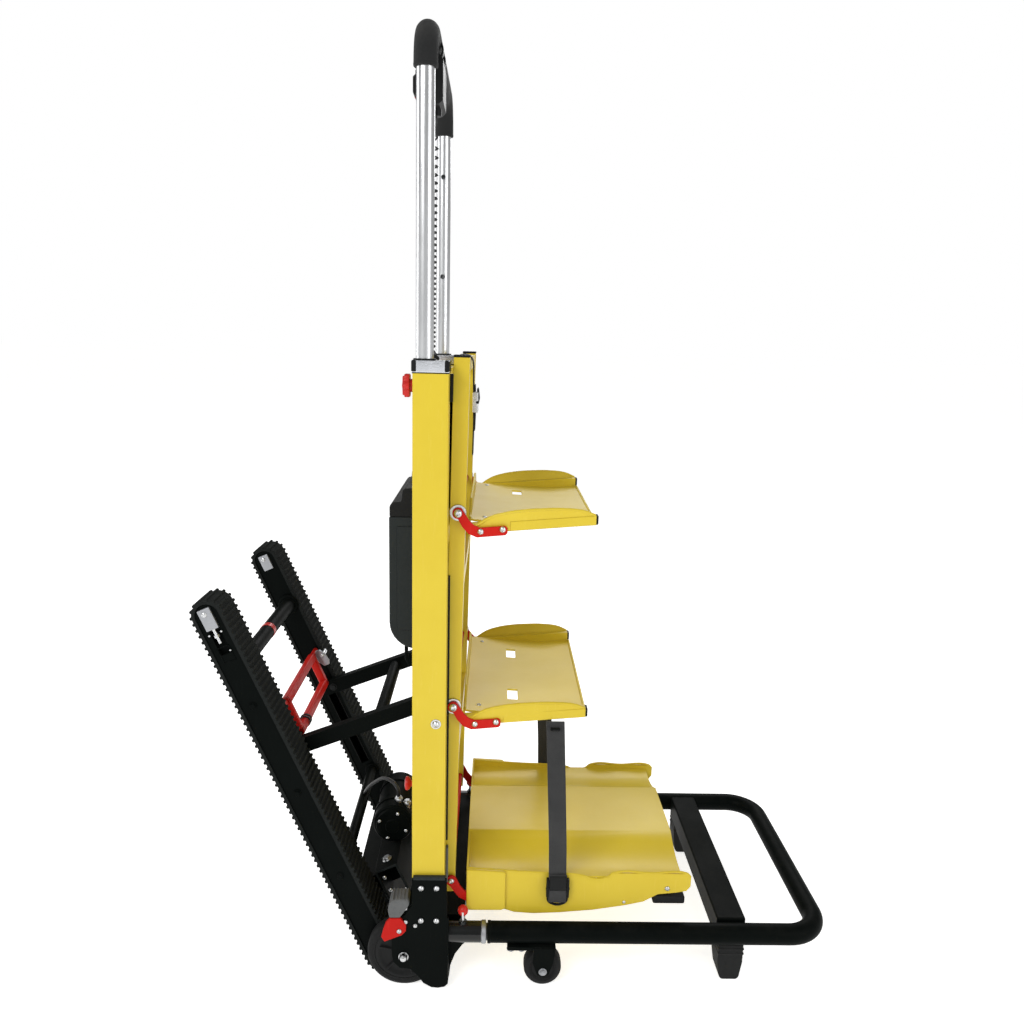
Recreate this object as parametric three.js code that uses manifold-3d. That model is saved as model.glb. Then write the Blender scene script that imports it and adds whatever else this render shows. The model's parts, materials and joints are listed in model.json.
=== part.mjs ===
import * as THREE from 'three';
import { mergeVertices } from 'three/addons/utils/BufferGeometryUtils.js';
import Module from 'manifold-3d';

// Stair climbing trolley, millimetres, +X forward (load side), +Z up, wheels on Z = 0.
const wasm = await Module();
wasm.setup();

// ---------- driving dimensions ----------
const gap = 0.3;
const postX = -140;            // main posts
const postDepth = 48;
const postWidth = 36;
const postY = 193;
const postBottom = 120;
const postTop = 926;
const postWall = 2.5;
const capHeight = 16;
const crossbarTop = 924;
const handleX = -149;          // telescopic handle
const handleRadius = 12;
const handleWall = 2;
const handleFoot = 600;
const handleTop = 1357;
const handleCorner = 48;
const gripRadius = 15.5;
const gripEnd = 1304;
const cordX = -142;            // curly control cord, from the crossbar to the control box
const cordY = -100;
const cordRadius = 6.5;
const cordNeck = 7.5;
const cordBottom = 948;
const cordTop = 1267.7;
const buttonY = -80;
const buttonZ = 1303;
const frontPostRear = -112;    // load frame, leaning forward at the top
const frontPostDepth = 22;
const frontPostInner = 148;
const frontPostOuter = 173;
const frontLean = 0.0157;
const frontLeanZ = 891;
const wheelRadius = 56;        // main wheels
const wheelX = -176;
const wheelInner = 189;
const wheelOuter = 209;
const plateInner = 211.3;      // black side plates
const plateOuter = 217;
const axleRadius = 6;
const trackX = -214;           // crawler tracks, measured from the drive shaft
const trackZ = 30;
const trackTilt = 24;
const trackLength = 598;
const beltInner = 129;
const beltOuter = 186;
const beltHalf = 22.5;
const beltThickness = 5;
const lugHeight = 2.5;
const lugPitch = 30;
const cheekRadius = 17;
const toeZ = 83;               // toe frame
const toeY = 195;
const toeRadius = 15.6;
const toeWall = 2.4;
const toeStart = -50;
const toeFront = 466.34;
const toeCorner = 52;
const linkX = -133;            // support link
const linkZ = 429;
const linkEndX = -350.8;
const linkEndZ = 344.6;
const trayDrop = -290;         // from the upper tray to the middle tray
const traySide = 175.5;

// ---------- materials ----------
const finish = (color, roughness, metalness) => ({ color, roughness, metalness });
const yellowPaint = finish(0xe3c43a, 0.42, 0.1);
const redPaint = finish(0xc42a20, 0.42, 0.1);
const blackPaint = finish(0x141516, 0.48, 0.25);
const chromeMetal = finish(0xc9ccd0, 0.14, 1);
const aluminium = finish(0xb9bdc2, 0.3, 1);
const zincSteel = finish(0x9fa3a8, 0.35, 0.95);
const blackPlastic = finish(0x1b1c1e, 0.55, 0);
const greyPlastic = finish(0x2c2e31, 0.5, 0);
const blackRubber = finish(0x202123, 0.85, 0);
const greyRubber = finish(0x4a4c4e, 0.85, 0);
const blackFoam = finish(0x17181a, 0.95, 0);
const blackWebbing = finish(0x1a1a1c, 0.9, 0);
const redPlastic = finish(0xb5201a, 0.35, 0);

const trolley = new THREE.Group();
trolley.name = 'stair_climbing_trolley';

function add(name, geometry, look) {
  const mesh = new THREE.Mesh(geometry, new THREE.MeshStandardMaterial(look));
  mesh.name = name;
  trolley.add(mesh);
}

// ---------- shapes ----------
function box(x0, x1, y0, y1, z0, z1) {
  const geometry = new THREE.BoxGeometry(x1 - x0, y1 - y0, z1 - z0);
  return geometry.translate((x0 + x1) / 2, (y0 + y1) / 2, (z0 + z1) / 2);
}

function outline(points) {
  return new THREE.Shape(points.map(([a, b]) => new THREE.Vector2(a, b)));
}

function extrude(shape, depth) {
  return new THREE.ExtrudeGeometry(shape, { depth, bevelEnabled: false, curveSegments: 12 });
}

// a side profile in X and Z, standing between two Y planes
function sidePlate(points, y0, y1) {
  return extrude(outline(points), y1 - y0).rotateX(Math.PI / 2).translate(0, y1, 0);
}

// a front profile in Y and Z, standing between two X planes
function frontPlate(points, x0, x1) {
  const turn = new THREE.Matrix4().set(0, 0, 1, x0, 1, 0, 0, 0, 0, 1, 0, 0, 0, 0, 0, 1);
  return extrude(outline(points), x1 - x0).applyMatrix4(turn);
}

function rodY(x, z, radius, y0, y1, sides = 14) {
  return new THREE.CylinderGeometry(radius, radius, y1 - y0, sides).translate(x, (y0 + y1) / 2, z);
}

function rodZ(x, y, radius, z0, z1, sides = 16) {
  const rod = new THREE.CylinderGeometry(radius, radius, z1 - z0, sides);
  return rod.rotateX(Math.PI / 2).translate(x, y, (z0 + z1) / 2);
}

function rodX(y, z, radius, x0, x1, sides = 16) {
  const rod = new THREE.CylinderGeometry(radius, radius, x1 - x0, sides);
  return rod.rotateZ(Math.PI / 2).translate((x0 + x1) / 2, y, z);
}

// a path through given points, one sweep step per point
class PointPath extends THREE.Curve {
  constructor(points) {
    super();
    this.points = points;
  }

  getPoint(t, target = new THREE.Vector3()) {
    const place = Math.min(Math.max(t, 0), 1) * (this.points.length - 1);
    const index = Math.min(Math.floor(place), this.points.length - 2);
    return target.lerpVectors(this.points[index], this.points[index + 1], place - index);
  }

  getPointAt(u, target) {
    return this.getPoint(u, target);
  }

  getTangentAt(u, target) {
    return this.getTangent(u, target);
  }
}

function circle(radius, sides) {
  const shape = new THREE.Shape();
  for (let i = 0; i < sides; i += 1) {
    const angle = (2 * Math.PI * i) / sides;
    const x = radius * Math.cos(angle);
    const y = radius * Math.sin(angle);
    if (i === 0) shape.moveTo(x, y);
    else shape.lineTo(x, y);
  }
  shape.closePath();
  return shape;
}

function pipe(points, radius, innerRadius, sides = 20) {
  const shape = circle(radius, sides);
  if (innerRadius > 0) shape.holes.push(circle(innerRadius, sides));
  const extrudePath = new PointPath(points);
  return new THREE.ExtrudeGeometry(shape, { steps: points.length - 1, extrudePath });
}

// points of a quarter bend, from direction a to direction b round a centre
function bend(centre, a, b, radius, steps = 6) {
  const points = [];
  for (let i = 0; i <= steps; i += 1) {
    const angle = (Math.PI / 2) * (i / steps);
    const point = centre.clone();
    point.addScaledVector(a, radius * Math.cos(angle));
    point.addScaledVector(b, radius * Math.sin(angle));
    points.push(point);
  }
  return points;
}

// ---------- joining and cutting ----------
function toSolid(geometry) {
  const bare = geometry.clone();
  bare.deleteAttribute('normal');
  bare.deleteAttribute('uv');
  const merged = mergeVertices(bare, 1e-4);
  const mesh = new wasm.Mesh({
    numProp: 3,
    vertProperties: Float32Array.from(merged.attributes.position.array),
    triVerts: Uint32Array.from(merged.index.array),
  });
  return new wasm.Manifold(mesh);
}

function fromSolid(solid) {
  const mesh = solid.getMesh();
  const geometry = new THREE.BufferGeometry();
  geometry.setAttribute('position', new THREE.BufferAttribute(mesh.vertProperties, 3));
  geometry.setIndex(new THREE.BufferAttribute(mesh.triVerts, 1));
  geometry.computeVertexNormals();
  return geometry;
}

function join(...parts) {
  return fromSolid(parts.map(toSolid).reduce((a, b) => a.add(b)));
}

function cut(body, ...tools) {
  return fromSolid(tools.map(toSolid).reduce((a, b) => a.subtract(b), toSolid(body)));
}

// the same shape on the other side of the trolley
function mirrored(geometry) {
  const flat = geometry.index ? geometry.toNonIndexed() : geometry.clone();
  const position = flat.attributes.position;
  for (let i = 0; i < position.count; i += 3) {
    const x = position.getX(i + 1);
    const y = position.getY(i + 1);
    const z = position.getZ(i + 1);
    position.setXYZ(i + 1, position.getX(i + 2), position.getY(i + 2), position.getZ(i + 2));
    position.setXYZ(i + 2, x, y, z);
  }
  for (let i = 0; i < position.count; i += 1) position.setY(i, -position.getY(i));
  flat.computeVertexNormals();
  return flat;
}

// geometry is drawn on the +Y (left) side
function addPair(name, geometry, look) {
  add(`${name}_l`, geometry, look);
  add(`${name}_r`, mirrored(geometry), look);
}

// ---------- main frame ----------
function addMainFrame() {
  const rear = postX - postDepth / 2;
  const front = postX + postDepth / 2;
  const inner = postY - postWidth / 2;
  const outer = postY + postWidth / 2;
  const parts = [];
  for (const side of [-1, 1]) {
    const low = Math.min(side * inner, side * outer);
    const high = Math.max(side * inner, side * outer);
    const tube = box(rear, front, low, high, postBottom, postTop);
    const bore = box(rear + postWall, front - postWall, low + postWall, high - postWall,
      postBottom - 5, postTop + 5);
    parts.push(cut(tube, bore));
  }
  const reach = inner + 1;
  parts.push(box(rear + 6, front - 10, -reach, reach, crossbarTop - 28, crossbarTop));
  parts.push(box(front - 30, front - 10, -reach, reach, 640, 668));
  parts.push(box(front - 26, front - 10, -reach, reach, 246, 270));
  add('main_frame', join(...parts), yellowPaint);

  const capBody = box(rear - 1, front + 1, inner - 1, outer + 1, postTop + gap, postTop + capHeight);
  const capHole = rodZ(handleX, postY, handleRadius + 0.6, postTop - 5, postTop + capHeight + 5, 20);
  addPair('post_cap', cut(capBody, capHole), chromeMetal);

  const foot = box(cordX - 9, cordX + 9, cordY - 9, cordY + 9, crossbarTop + gap, crossbarTop + 10);
  const neck = rodZ(cordX, cordY, cordNeck, crossbarTop + 6, cordBottom - gap);
  add('cord_gland', join(foot, neck), blackPlastic);
}

function addBase() {
  const profile = [
    [-163.5, 185], [-112, 185], [-111, 121], [-60, 120], [-60, 84], [-74, 78], [-88, 66],
    [-99, 50], [-106, 30], [-108, 10], [-114, 4], [-124, 2], [-134, 3], [-146, 10],
    [-156, 24], [-166, 34], [-182, 36], [-192, 46], [-194, 60], [-194, 104], [-186, 114],
    [-174, 126], [-164, 142],
  ];
  const plate = sidePlate(profile, plateInner, plateOuter);
  const axleHole = rodY(wheelX, wheelRadius, axleRadius + 0.4, plateInner - 5, plateOuter + 5);
  const pinHole = rodY(-182, 102, 4.4, plateInner - 5, plateOuter + 5);
  addPair('side_plate', cut(plate, axleHole, pinHole), blackPaint);

  const beam = box(-116, -86, -(toeY - toeRadius - gap), toeY - toeRadius - gap, 66, 100);
  const arm = [
    [-110, 98], [-118, 98], [-170, 68], [-188, 58], [-222, 40], [-226, 30], [-222, 20],
    [-212, 17], [-200, 22], [-168, 42], [-112, 68],
  ];
  const carriers = [];
  const holes = [];
  for (const side of [-1, 1]) {
    const low = side > 0 ? 116 : -122;
    carriers.push(sidePlate(arm, low, low + 6));
    holes.push(rodY(trackX, trackZ, 7.5, low - 4, low + 10));
  }
  const axle = rodY(wheelX, wheelRadius, axleRadius, -222, 222);
  add('base_beam', cut(join(beam, axle, ...carriers), ...holes), blackPaint);

  const collar = rodX(toeY, toeZ, toeRadius, -112, toeStart - 1, 20);
  const spigot = rodX(toeY, toeZ, toeRadius - toeWall - 0.5, -60, 40, 20);
  const pinBore = rodZ(-88, toeY, 3.6, toeZ, toeZ + 30, 16);
  addPair('toe_stub', cut(join(collar, spigot), pinBore), blackPaint);
}

function addMainWheels() {
  const hub = [
    [axleRadius + 0.4, wheelInner], [16, wheelInner], [16, wheelInner + 3], [38, wheelInner + 3],
    [40, wheelInner + 1], [44, wheelInner + 1], [44, wheelOuter - 1], [40, wheelOuter - 1],
    [38, wheelOuter - 4], [16, wheelOuter - 4], [16, wheelOuter], [axleRadius + 0.4, wheelOuter],
    [axleRadius + 0.4, wheelInner],
  ];
  const tyre = [
    [44 + gap, wheelInner + 1], [50, wheelInner], [54, wheelInner + 2], [wheelRadius, wheelInner + 5],
    [wheelRadius, wheelOuter - 5], [54, wheelOuter - 2], [50, wheelOuter], [44 + gap, wheelOuter - 1],
    [44 + gap, wheelInner + 1],
  ];
  const turned = (profile, sides) => {
    const points = profile.map(([r, y]) => new THREE.Vector2(r, y));
    return new THREE.LatheGeometry(points, sides).translate(wheelX, 0, wheelRadius);
  };
  addPair('wheel_hub', turned(hub, 20), blackPlastic);
  addPair('wheel_tyre', turned(tyre, 28), blackRubber);
}

function addBrakes() {
  const lever = [
    [-209, 92], [-206, 104], [-202, 116], [-196, 123], [-180, 123], [-172, 112], [-172, 102],
    [-178, 95], [-190, 90], [-204, 84],
  ];
  const plate = sidePlate(lever, plateOuter + gap, plateOuter + 4.3);
  const pin = rodY(-182, 102, 4, plateInner + 0.2, plateOuter + 3);
  addPair('brake_lever', join(plate, pin), redPaint);
  const pad = [
    [-197, 123.4], [-181, 123.4], [-170, 140], [-167, 146], [-169, 152], [-176, 154],
    [-190, 153], [-197, 147], [-199, 136],
  ];
  addPair('brake_pad', sidePlate(pad, wheelInner + 2, plateOuter + 4), greyRubber);
}

// ---------- load frame and trays ----------
function frontFace(z) {
  return frontPostRear + frontPostDepth - (frontLeanZ - z) * frontLean;
}

function addLoadFrame() {
  const parts = [];
  const bottom = 136;
  const top = 946;
  const postSide = (inset, low, high) => [
    [frontFace(low) - frontPostDepth + inset, low], [frontFace(low) - inset, low],
    [frontFace(high) - inset, high], [frontFace(high) - frontPostDepth + inset, high],
  ];
  const post = cut(
    sidePlate(postSide(0, bottom, top), frontPostInner, frontPostOuter),
    sidePlate(postSide(postWall, bottom - 5, top + 5), frontPostInner + postWall, frontPostOuter - postWall),
  );
  parts.push(post, mirrored(post));
  const reach = frontPostInner + 0.5;
  for (const z of [926, 610, 346]) {
    const face = frontFace(z) - 1;
    parts.push(box(face - 18, face, -reach, reach, z, z + 18));
  }
  const holes = trayPivots().map(([x, z]) => rodY(x, z, 4.6, -190, 190));
  add('load_frame', cut(join(...parts), ...holes), yellowPaint);
}

function trayPivots() {
  return [[-103, 731], [-107, 731 + trayDrop], [-107, 158]];
}

// a bent flat arm on each side, welded to one pivot rod
function trayArms(pivot, profile) {
  const [x, z] = pivot;
  const parts = [rodY(x, z, 4, -traySide - 5, traySide + 5)];
  for (const side of [-1, 1]) {
    const low = side > 0 ? traySide + gap : -traySide - gap - 4;
    parts.push(sidePlate(profile, low, low + 4));
    parts.push(rodY(x, z, 8, low, low + 4));
  }
  return join(...parts);
}

function cradle(dx, dz) {
  const sheet = 3;
  const panHalf = 162;
  const backX = -88;
  const pan = [[-87, 721], [-80, 719.5], [-50, 717], [0, 714.5], [41, 713.5], [94, 717]];
  const backEdge = [[-160, 717], [-160, 722], [-139, 724], [-121, 742]];
  const rail = [[-86, 701], [92, 717], [92, 731], [-86, 715]];
  const flange = [
    [-84, 706], [-79, 712], [-57, 726], [-38, 732], [-17, 736], [16, 739], [49, 739.5],
    [74, 737], [91, 730], [91, 722],
  ];
  const moved = (points) => points.map(([x, z]) => [x + dx, z + dz]);
  const under = pan.slice().reverse().map(([x, z]) => [x, z - sheet]);
  const back = [...backEdge, ...backEdge.slice().reverse().map(([y, z]) => [-y, z])];
  const parts = [
    sidePlate(moved([...pan, ...under]), -panHalf, panHalf),
    frontPlate(back.map(([y, z]) => [y, z + dz]), backX + dx, backX + dx + sheet),
  ];
  for (const side of [-1, 1]) {
    const low = side > 0 ? 161 : -traySide;
    parts.push(sidePlate(moved(rail), low, low + traySide - 161));
    const edge = side > 0 ? traySide - 3.5 : -traySide;
    parts.push(sidePlate(moved(flange), edge, edge + 3.5));
  }
  const slots = [-90, 90].map((y) => box(-22 + dx, -6 + dx, y - 20, y + 20, 705 + dz, 725 + dz));
  return cut(join(...parts), ...slots);
}

function addTrays() {
  const arm = [
    [-110, 727], [-103, 723], [-97, 712], [-88, 702], [-76, 697], [-36, 701], [-33, 704],
    [-33, 711], [-36, 714], [-72, 711], [-80, 714], [-87, 721], [-95, 733],
  ];
  const lowArm = [
    [-113, 153], [-108, 148], [-102, 139], [-95, 130], [-85, 125], [-36, 125], [-33, 128],
    [-33, 135], [-36, 138], [-80, 138], [-87, 141], [-93, 148], [-99, 160],
  ];
  const [upper, middle, lower] = trayPivots();
  const dx = middle[0] - upper[0];
  add('upper_tray', cradle(0, 0), yellowPaint);
  add('upper_tray_arms', trayArms(upper, arm), redPaint);
  add('middle_tray', cradle(dx, trayDrop), yellowPaint);
  add('middle_tray_arms', trayArms(middle, arm.map(([x, z]) => [x + dx, z + trayDrop])), redPaint);
  add('bottom_tray_arms', trayArms(lower, lowArm), redPaint);
  addBottomTray();
}

function addBottomTray() {
  const wall = [
    [-84, 112], [-80, 108], [-28, 109], [-10, 103], [20, 101], [60, 103], [112, 108], [160, 116],
    [190, 123], [212, 136], [240, 139], [256, 142], [262, 150], [262, 166], [256, 171],
    [142, 171], [134, 163], [108, 160], [100, 166], [-84, 178],
  ];
  const centreY = 141;
  const centreZ = 300;
  const radius = 139;
  const height = (y) => centreZ - Math.sqrt(radius ** 2 - (y - centreY) ** 2);
  const across = [173, 157, 141, 125, 107, 89, 70, 50];
  const top = across.map((y) => [y, Math.min(height(y), 180)]);
  const full = [...top, ...top.slice().reverse().map(([y, z]) => [-y, z])];
  const floor = [...full, ...full.slice().reverse().map(([y, z]) => [y, z - 3])];
  const parts = [frontPlate(floor, -84, 250)];
  parts.push(sidePlate(wall, traySide - 3.5, traySide));
  parts.push(sidePlate(wall, -traySide, -traySide + 3.5));
  parts.push(box(-84, -81, -traySide + 1, traySide - 1, 112, 178));
  parts.push(box(200, 216, -traySide + 1, traySide - 1, 142, 160));
  add('bottom_tray', join(...parts), yellowPaint);
}

// ---------- straps ----------
function addStraps() {
  const top = 946;
  const face = frontFace(935);
  const wrap = [
    [face - 24, 928], [face - 24, top + 2.8], [face + 2.8, top + 2.8], [face + 2.8, 800],
    [face + 0.6, 800], [face + 0.6, top + 0.6], [face - 21.8, top + 0.6], [face - 21.8, 928],
  ];
  add('strap_upper', sidePlate(wrap, -95, -57), blackWebbing);
  addPair('strap_lower', box(31, 69, traySide + 2, traySide + 4.2, 118, 422), blackWebbing);
}

// ---------- telescopic handle ----------
function handlePath(foot) {
  const y = postY;
  const up = new THREE.Vector3(0, 0, 1);
  const left = new THREE.Vector3(0, 1, 0);
  const right = new THREE.Vector3(0, -1, 0);
  const inset = y - handleCorner;
  const level = handleTop - handleCorner;
  const near = new THREE.Vector3(handleX, -inset, level);
  const far = new THREE.Vector3(handleX, inset, level);
  return [
    new THREE.Vector3(handleX, -y, foot), ...bend(near, right, up, handleCorner),
    ...bend(far, up, left, handleCorner), new THREE.Vector3(handleX, y, foot),
  ];
}

function addHandle() {
  add('handle_tube', pipe(handlePath(handleFoot), handleRadius, handleRadius - handleWall, 12), aluminium);
  add('handle_grip', pipe(handlePath(gripEnd), gripRadius, handleRadius + gap, 12), blackFoam);
  const shell = [
    [-165, 1282], [-160, 1277], [-136, 1277], [-131, 1282], [-131, 1332], [-137, 1340],
    [-160, 1340], [-167, 1330],
  ];
  const neck = rodZ(cordX, cordY, cordNeck, cordTop + gap, 1278);
  const pocket = rodX(buttonY, buttonZ, 8.6, -172, -162, 20);
  add('control_box', cut(join(sidePlate(shell, -132, -60), neck), pocket), blackPlastic);
  const rocker = [[-167, 1316], [-171, 1312], [-171, 1292], [-166.4, 1287]];
  add('drive_rocker', sidePlate(rocker, -124, -104).translate(-gap - 0.6, 0, 0), redPlastic);
  add('stop_button', rodX(buttonY, buttonZ, 8, -174, -167.4, 20), redPlastic);
  const cord = [];
  const steps = 12;
  for (let i = 0; i <= steps; i += 1) {
    cord.push(new THREE.Vector3(cordX, cordY, cordBottom + ((cordTop - cordBottom) * i) / steps));
  }
  add('control_cord', pipe(cord, cordRadius, 0, 10), blackPlastic);
}

function addKnobs() {
  const rear = postX - postDepth / 2;
  const knob = new THREE.Shape();
  const lobes = 6;
  const steps = lobes * 4;
  for (let i = 0; i < steps; i += 1) {
    const angle = (2 * Math.PI * i) / steps;
    const radius = 16 + 2.2 * Math.cos(lobes * angle);
    const point = [radius * Math.cos(angle), radius * Math.sin(angle)];
    if (i === 0) knob.moveTo(...point);
    else knob.lineTo(...point);
  }
  knob.closePath();
  const turn = new THREE.Matrix4().set(0, 0, 1, rear - 14, 1, 0, 0, postY, 0, 1, 0, 908, 0, 0, 0, 1);
  const head = extrude(knob, 10).applyMatrix4(turn);
  addPair('clamp_knob', join(head, rodX(postY, 908, 9, rear - 5, rear - gap, 20)), redPlastic);
}

// ---------- battery ----------
function addBattery() {
  const rear = -207;
  const front = -150;
  const corner = 42;
  const profile = [[front, 508], [rear + corner, 508]];
  for (let i = 1; i <= 8; i += 1) {
    const angle = (Math.PI / 2) * (i / 8);
    profile.push([rear + corner - corner * Math.sin(angle), 508 + corner - corner * Math.cos(angle)]);
  }
  profile.push([rear, 712], [front, 712]);
  add('battery_case', sidePlate(profile, -120, 120), greyPlastic);
  const lid = [
    [front, 712 + gap], [rear + 1, 712 + gap], [rear + 1, 728], [rear + 6, 734], [rear + 18, 735],
    [rear + 20, 752], [rear + 24, 755], [front - 2, 755], [front, 752],
  ];
  add('battery_lid', sidePlate(lid, -121, 121), blackPlastic);
  const bail = [[-187, 502], [-187, 470], [-184, 463], [-179, 460], [-174, 463], [-171, 470], [-171, 502]];
  add('battery_bail', pipe(bail.map(([x, z]) => new THREE.Vector3(x, -60, z)), 3, 0, 10), blackPaint);
}

// ---------- track unit, drawn upright from the drive shaft then tilted back ----------
function tilted(geometry) {
  return geometry.rotateY((-trackTilt * Math.PI) / 180).translate(trackX, 0, trackZ);
}

function stadium(radius, length, steps) {
  const points = [];
  for (let i = 0; i <= steps; i += 1) {
    const angle = (Math.PI * i) / steps;
    points.push([radius * Math.cos(angle), length + radius * Math.sin(angle)]);
  }
  for (let i = 0; i <= steps; i += 1) {
    const angle = Math.PI + (Math.PI * i) / steps;
    points.push([radius * Math.cos(angle), radius * Math.sin(angle)]);
  }
  return points;
}

// distance along the belt to a point and its outward direction
function beltPoint(distance, lift) {
  const half = Math.PI * beltHalf;
  const s = distance % (2 * trackLength + 2 * half);
  const r = beltHalf + lift;
  if (s < trackLength) return [r, s];
  if (s < trackLength + half) {
    const angle = (s - trackLength) / beltHalf;
    return [r * Math.cos(angle), trackLength + r * Math.sin(angle)];
  }
  if (s < 2 * trackLength + half) return [-r, trackLength - (s - trackLength - half)];
  const angle = Math.PI + (s - 2 * trackLength - half) / beltHalf;
  return [r * Math.cos(angle), r * Math.sin(angle)];
}

function beltShape() {
  const length = 2 * trackLength + 2 * Math.PI * beltHalf;
  const lugs = Math.round(length / lugPitch);
  const pitch = length / lugs;
  const points = [];
  for (let i = 0; i < lugs; i += 1) {
    for (const [along, lift] of [[0.02, 0], [0.2, lugHeight], [0.55, lugHeight], [0.73, 0]]) {
      points.push(beltPoint((i + along) * pitch, lift));
    }
  }
  const shape = outline(points);
  const inside = stadium(beltHalf - beltThickness, trackLength, 12).reverse();
  shape.holes.push(outline(inside));
  return shape;
}

function standing(shape, y0, y1) {
  return extrude(shape, y1 - y0).rotateX(Math.PI / 2).translate(0, y1, 0);
}

function addTracks() {
  addPair('track_belt', tilted(standing(beltShape(), beltInner, beltOuter)), blackRubber);

  const cheek = stadium(cheekRadius, trackLength, 14);
  const frame = cut(
    join(
      sidePlate(cheek, beltInner + 2, beltInner + 5),
      sidePlate(cheek, beltOuter - 5, beltOuter - 2),
      box(-14, 14, beltInner + 4, beltOuter - 4, 24, trackLength - 24),
    ),
    rodY(0, 0, 7.4, beltInner - 5, beltOuter + 5),
    rodY(0, trackLength, 5.4, beltInner - 5, beltOuter + 5),
    box(-11, 11, beltInner + 7, beltOuter - 7, 30, trackLength - 70),
    box(-4, 10, beltInner - 5, beltInner + 9, 176, 352),
    box(-8, 8, beltOuter - 10, beltOuter + 5, trackLength - 62, trackLength - 24),
  );
  addPair('track_frame', tilted(frame), blackPaint);

  const idler = join(
    rodY(0, trackLength, 16.6, beltInner + 6, beltOuter - 6, 20),
    rodY(0, trackLength, 5, beltInner + 1, beltOuter - 1, 16),
  );
  addPair('track_idler', tilted(idler), zincSteel);
  const block = join(
    box(-7, 7, beltOuter - 4.4, beltOuter + 3, trackLength - 38, trackLength - 25),
    box(-7, 7, beltOuter - 1.6, beltOuter + 3, trackLength - 26, trackLength + 6),
  );
  const bore = rodY(0, trackLength, 5.4, beltInner, beltOuter + 10);
  addPair('track_tensioner', tilted(cut(block, bore)), aluminium);

  const teeth = 12;
  const sprocket = new THREE.Shape();
  for (let i = 0; i < teeth; i += 1) {
    for (const [part, radius] of [[0, 13.6], [0.25, 16.6], [0.5, 16.6], [0.75, 13.6]]) {
      const angle = (2 * Math.PI * (i + part)) / teeth;
      const point = [radius * Math.cos(angle), radius * Math.sin(angle)];
      if (i === 0 && part === 0) sprocket.moveTo(...point);
      else sprocket.lineTo(...point);
    }
  }
  sprocket.closePath();
  const shaft = join(
    rodY(0, 0, 7, -beltOuter + 1, beltOuter - 1),
    standing(sprocket, beltInner + 6, beltOuter - 6),
    standing(sprocket, -beltOuter + 6, -beltInner - 6),
  );
  add('drive_shaft', tilted(shaft), zincSteel);

  const reach = beltInner + 2 - gap;
  add('cross_tube_upper', tilted(rodY(4, 509, 12, -reach, reach)), blackPaint);
  add('cross_tube_lower', tilted(rodY(8, 158, 8.5, -reach, reach)), blackPaint);

  const channel = cut(box(22, 61, -114, 114, 42, 97), box(26, 57, -120, 120, 38, 93));
  const housing = join(
    channel,
    box(24, 59, -70, 70, 46, 96),
    box(-13, 23, -114, 114, 62, 92),
    box(-13, 14, -reach, reach, 64, 90),
    cut(box(-14, 14, -60, 60, -15, 63), rodY(0, 0, 7.4, -70, 70)),
  );
  add('drive_housing', tilted(housing), blackPaint);
  const motor = join(
    rodY(62, 131, 33, -50, 66, 24),
    rodY(62, 131, 27, -58, 72, 24),
    box(40, 84, -30, 50, 97 + gap, 110),
  );
  add('drive_motor', tilted(motor), blackPaint);

  const outer = outline([[-102, 352], [-102, 417], [102, 417], [102, 352]]);
  outer.holes.push(outline([[-90, 364], [90, 364], [90, 404], [-90, 404]]));
  const turn = new THREE.Matrix4().set(0, 0, 1, 5, 1, 0, 0, 0, 0, 1, 0, 0, 0, 0, 0, 1);
  const loop = extrude(outer, 12).applyMatrix4(turn);
  add('release_handle', tilted(join(loop, rodY(11, 411, 5, -reach, reach))), redPaint);
}

// ---------- support link between the posts and the tracks ----------
function addLinkFrame() {
  const length = Math.hypot(linkEndX - linkX, linkEndZ - linkZ);
  const angle = Math.atan2(linkEndZ - linkZ, linkEndX - linkX);
  const parts = [rodY(0, 0, 8, -(postY - postWidth / 2 - gap), postY - postWidth / 2 - gap)];
  for (const side of [-1, 1]) {
    const low = side > 0 ? 106 : -122;
    parts.push(sidePlate([[-12, -12], [length + 8, -12], [length + 8, 12], [-12, 12]], low, low + 16));
    const pinLow = side > 0 ? 121 : -beltInner + 0.6;
    parts.push(rodY(length, 0, 5, pinLow, pinLow + beltInner - 0.6 - 121));
  }
  parts.push(rodY(97, 0, 9, -107, 107));
  const frame = join(...parts).rotateY(-angle).translate(linkX, 0, linkZ);
  add('link_frame', frame, blackPaint);
}

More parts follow.
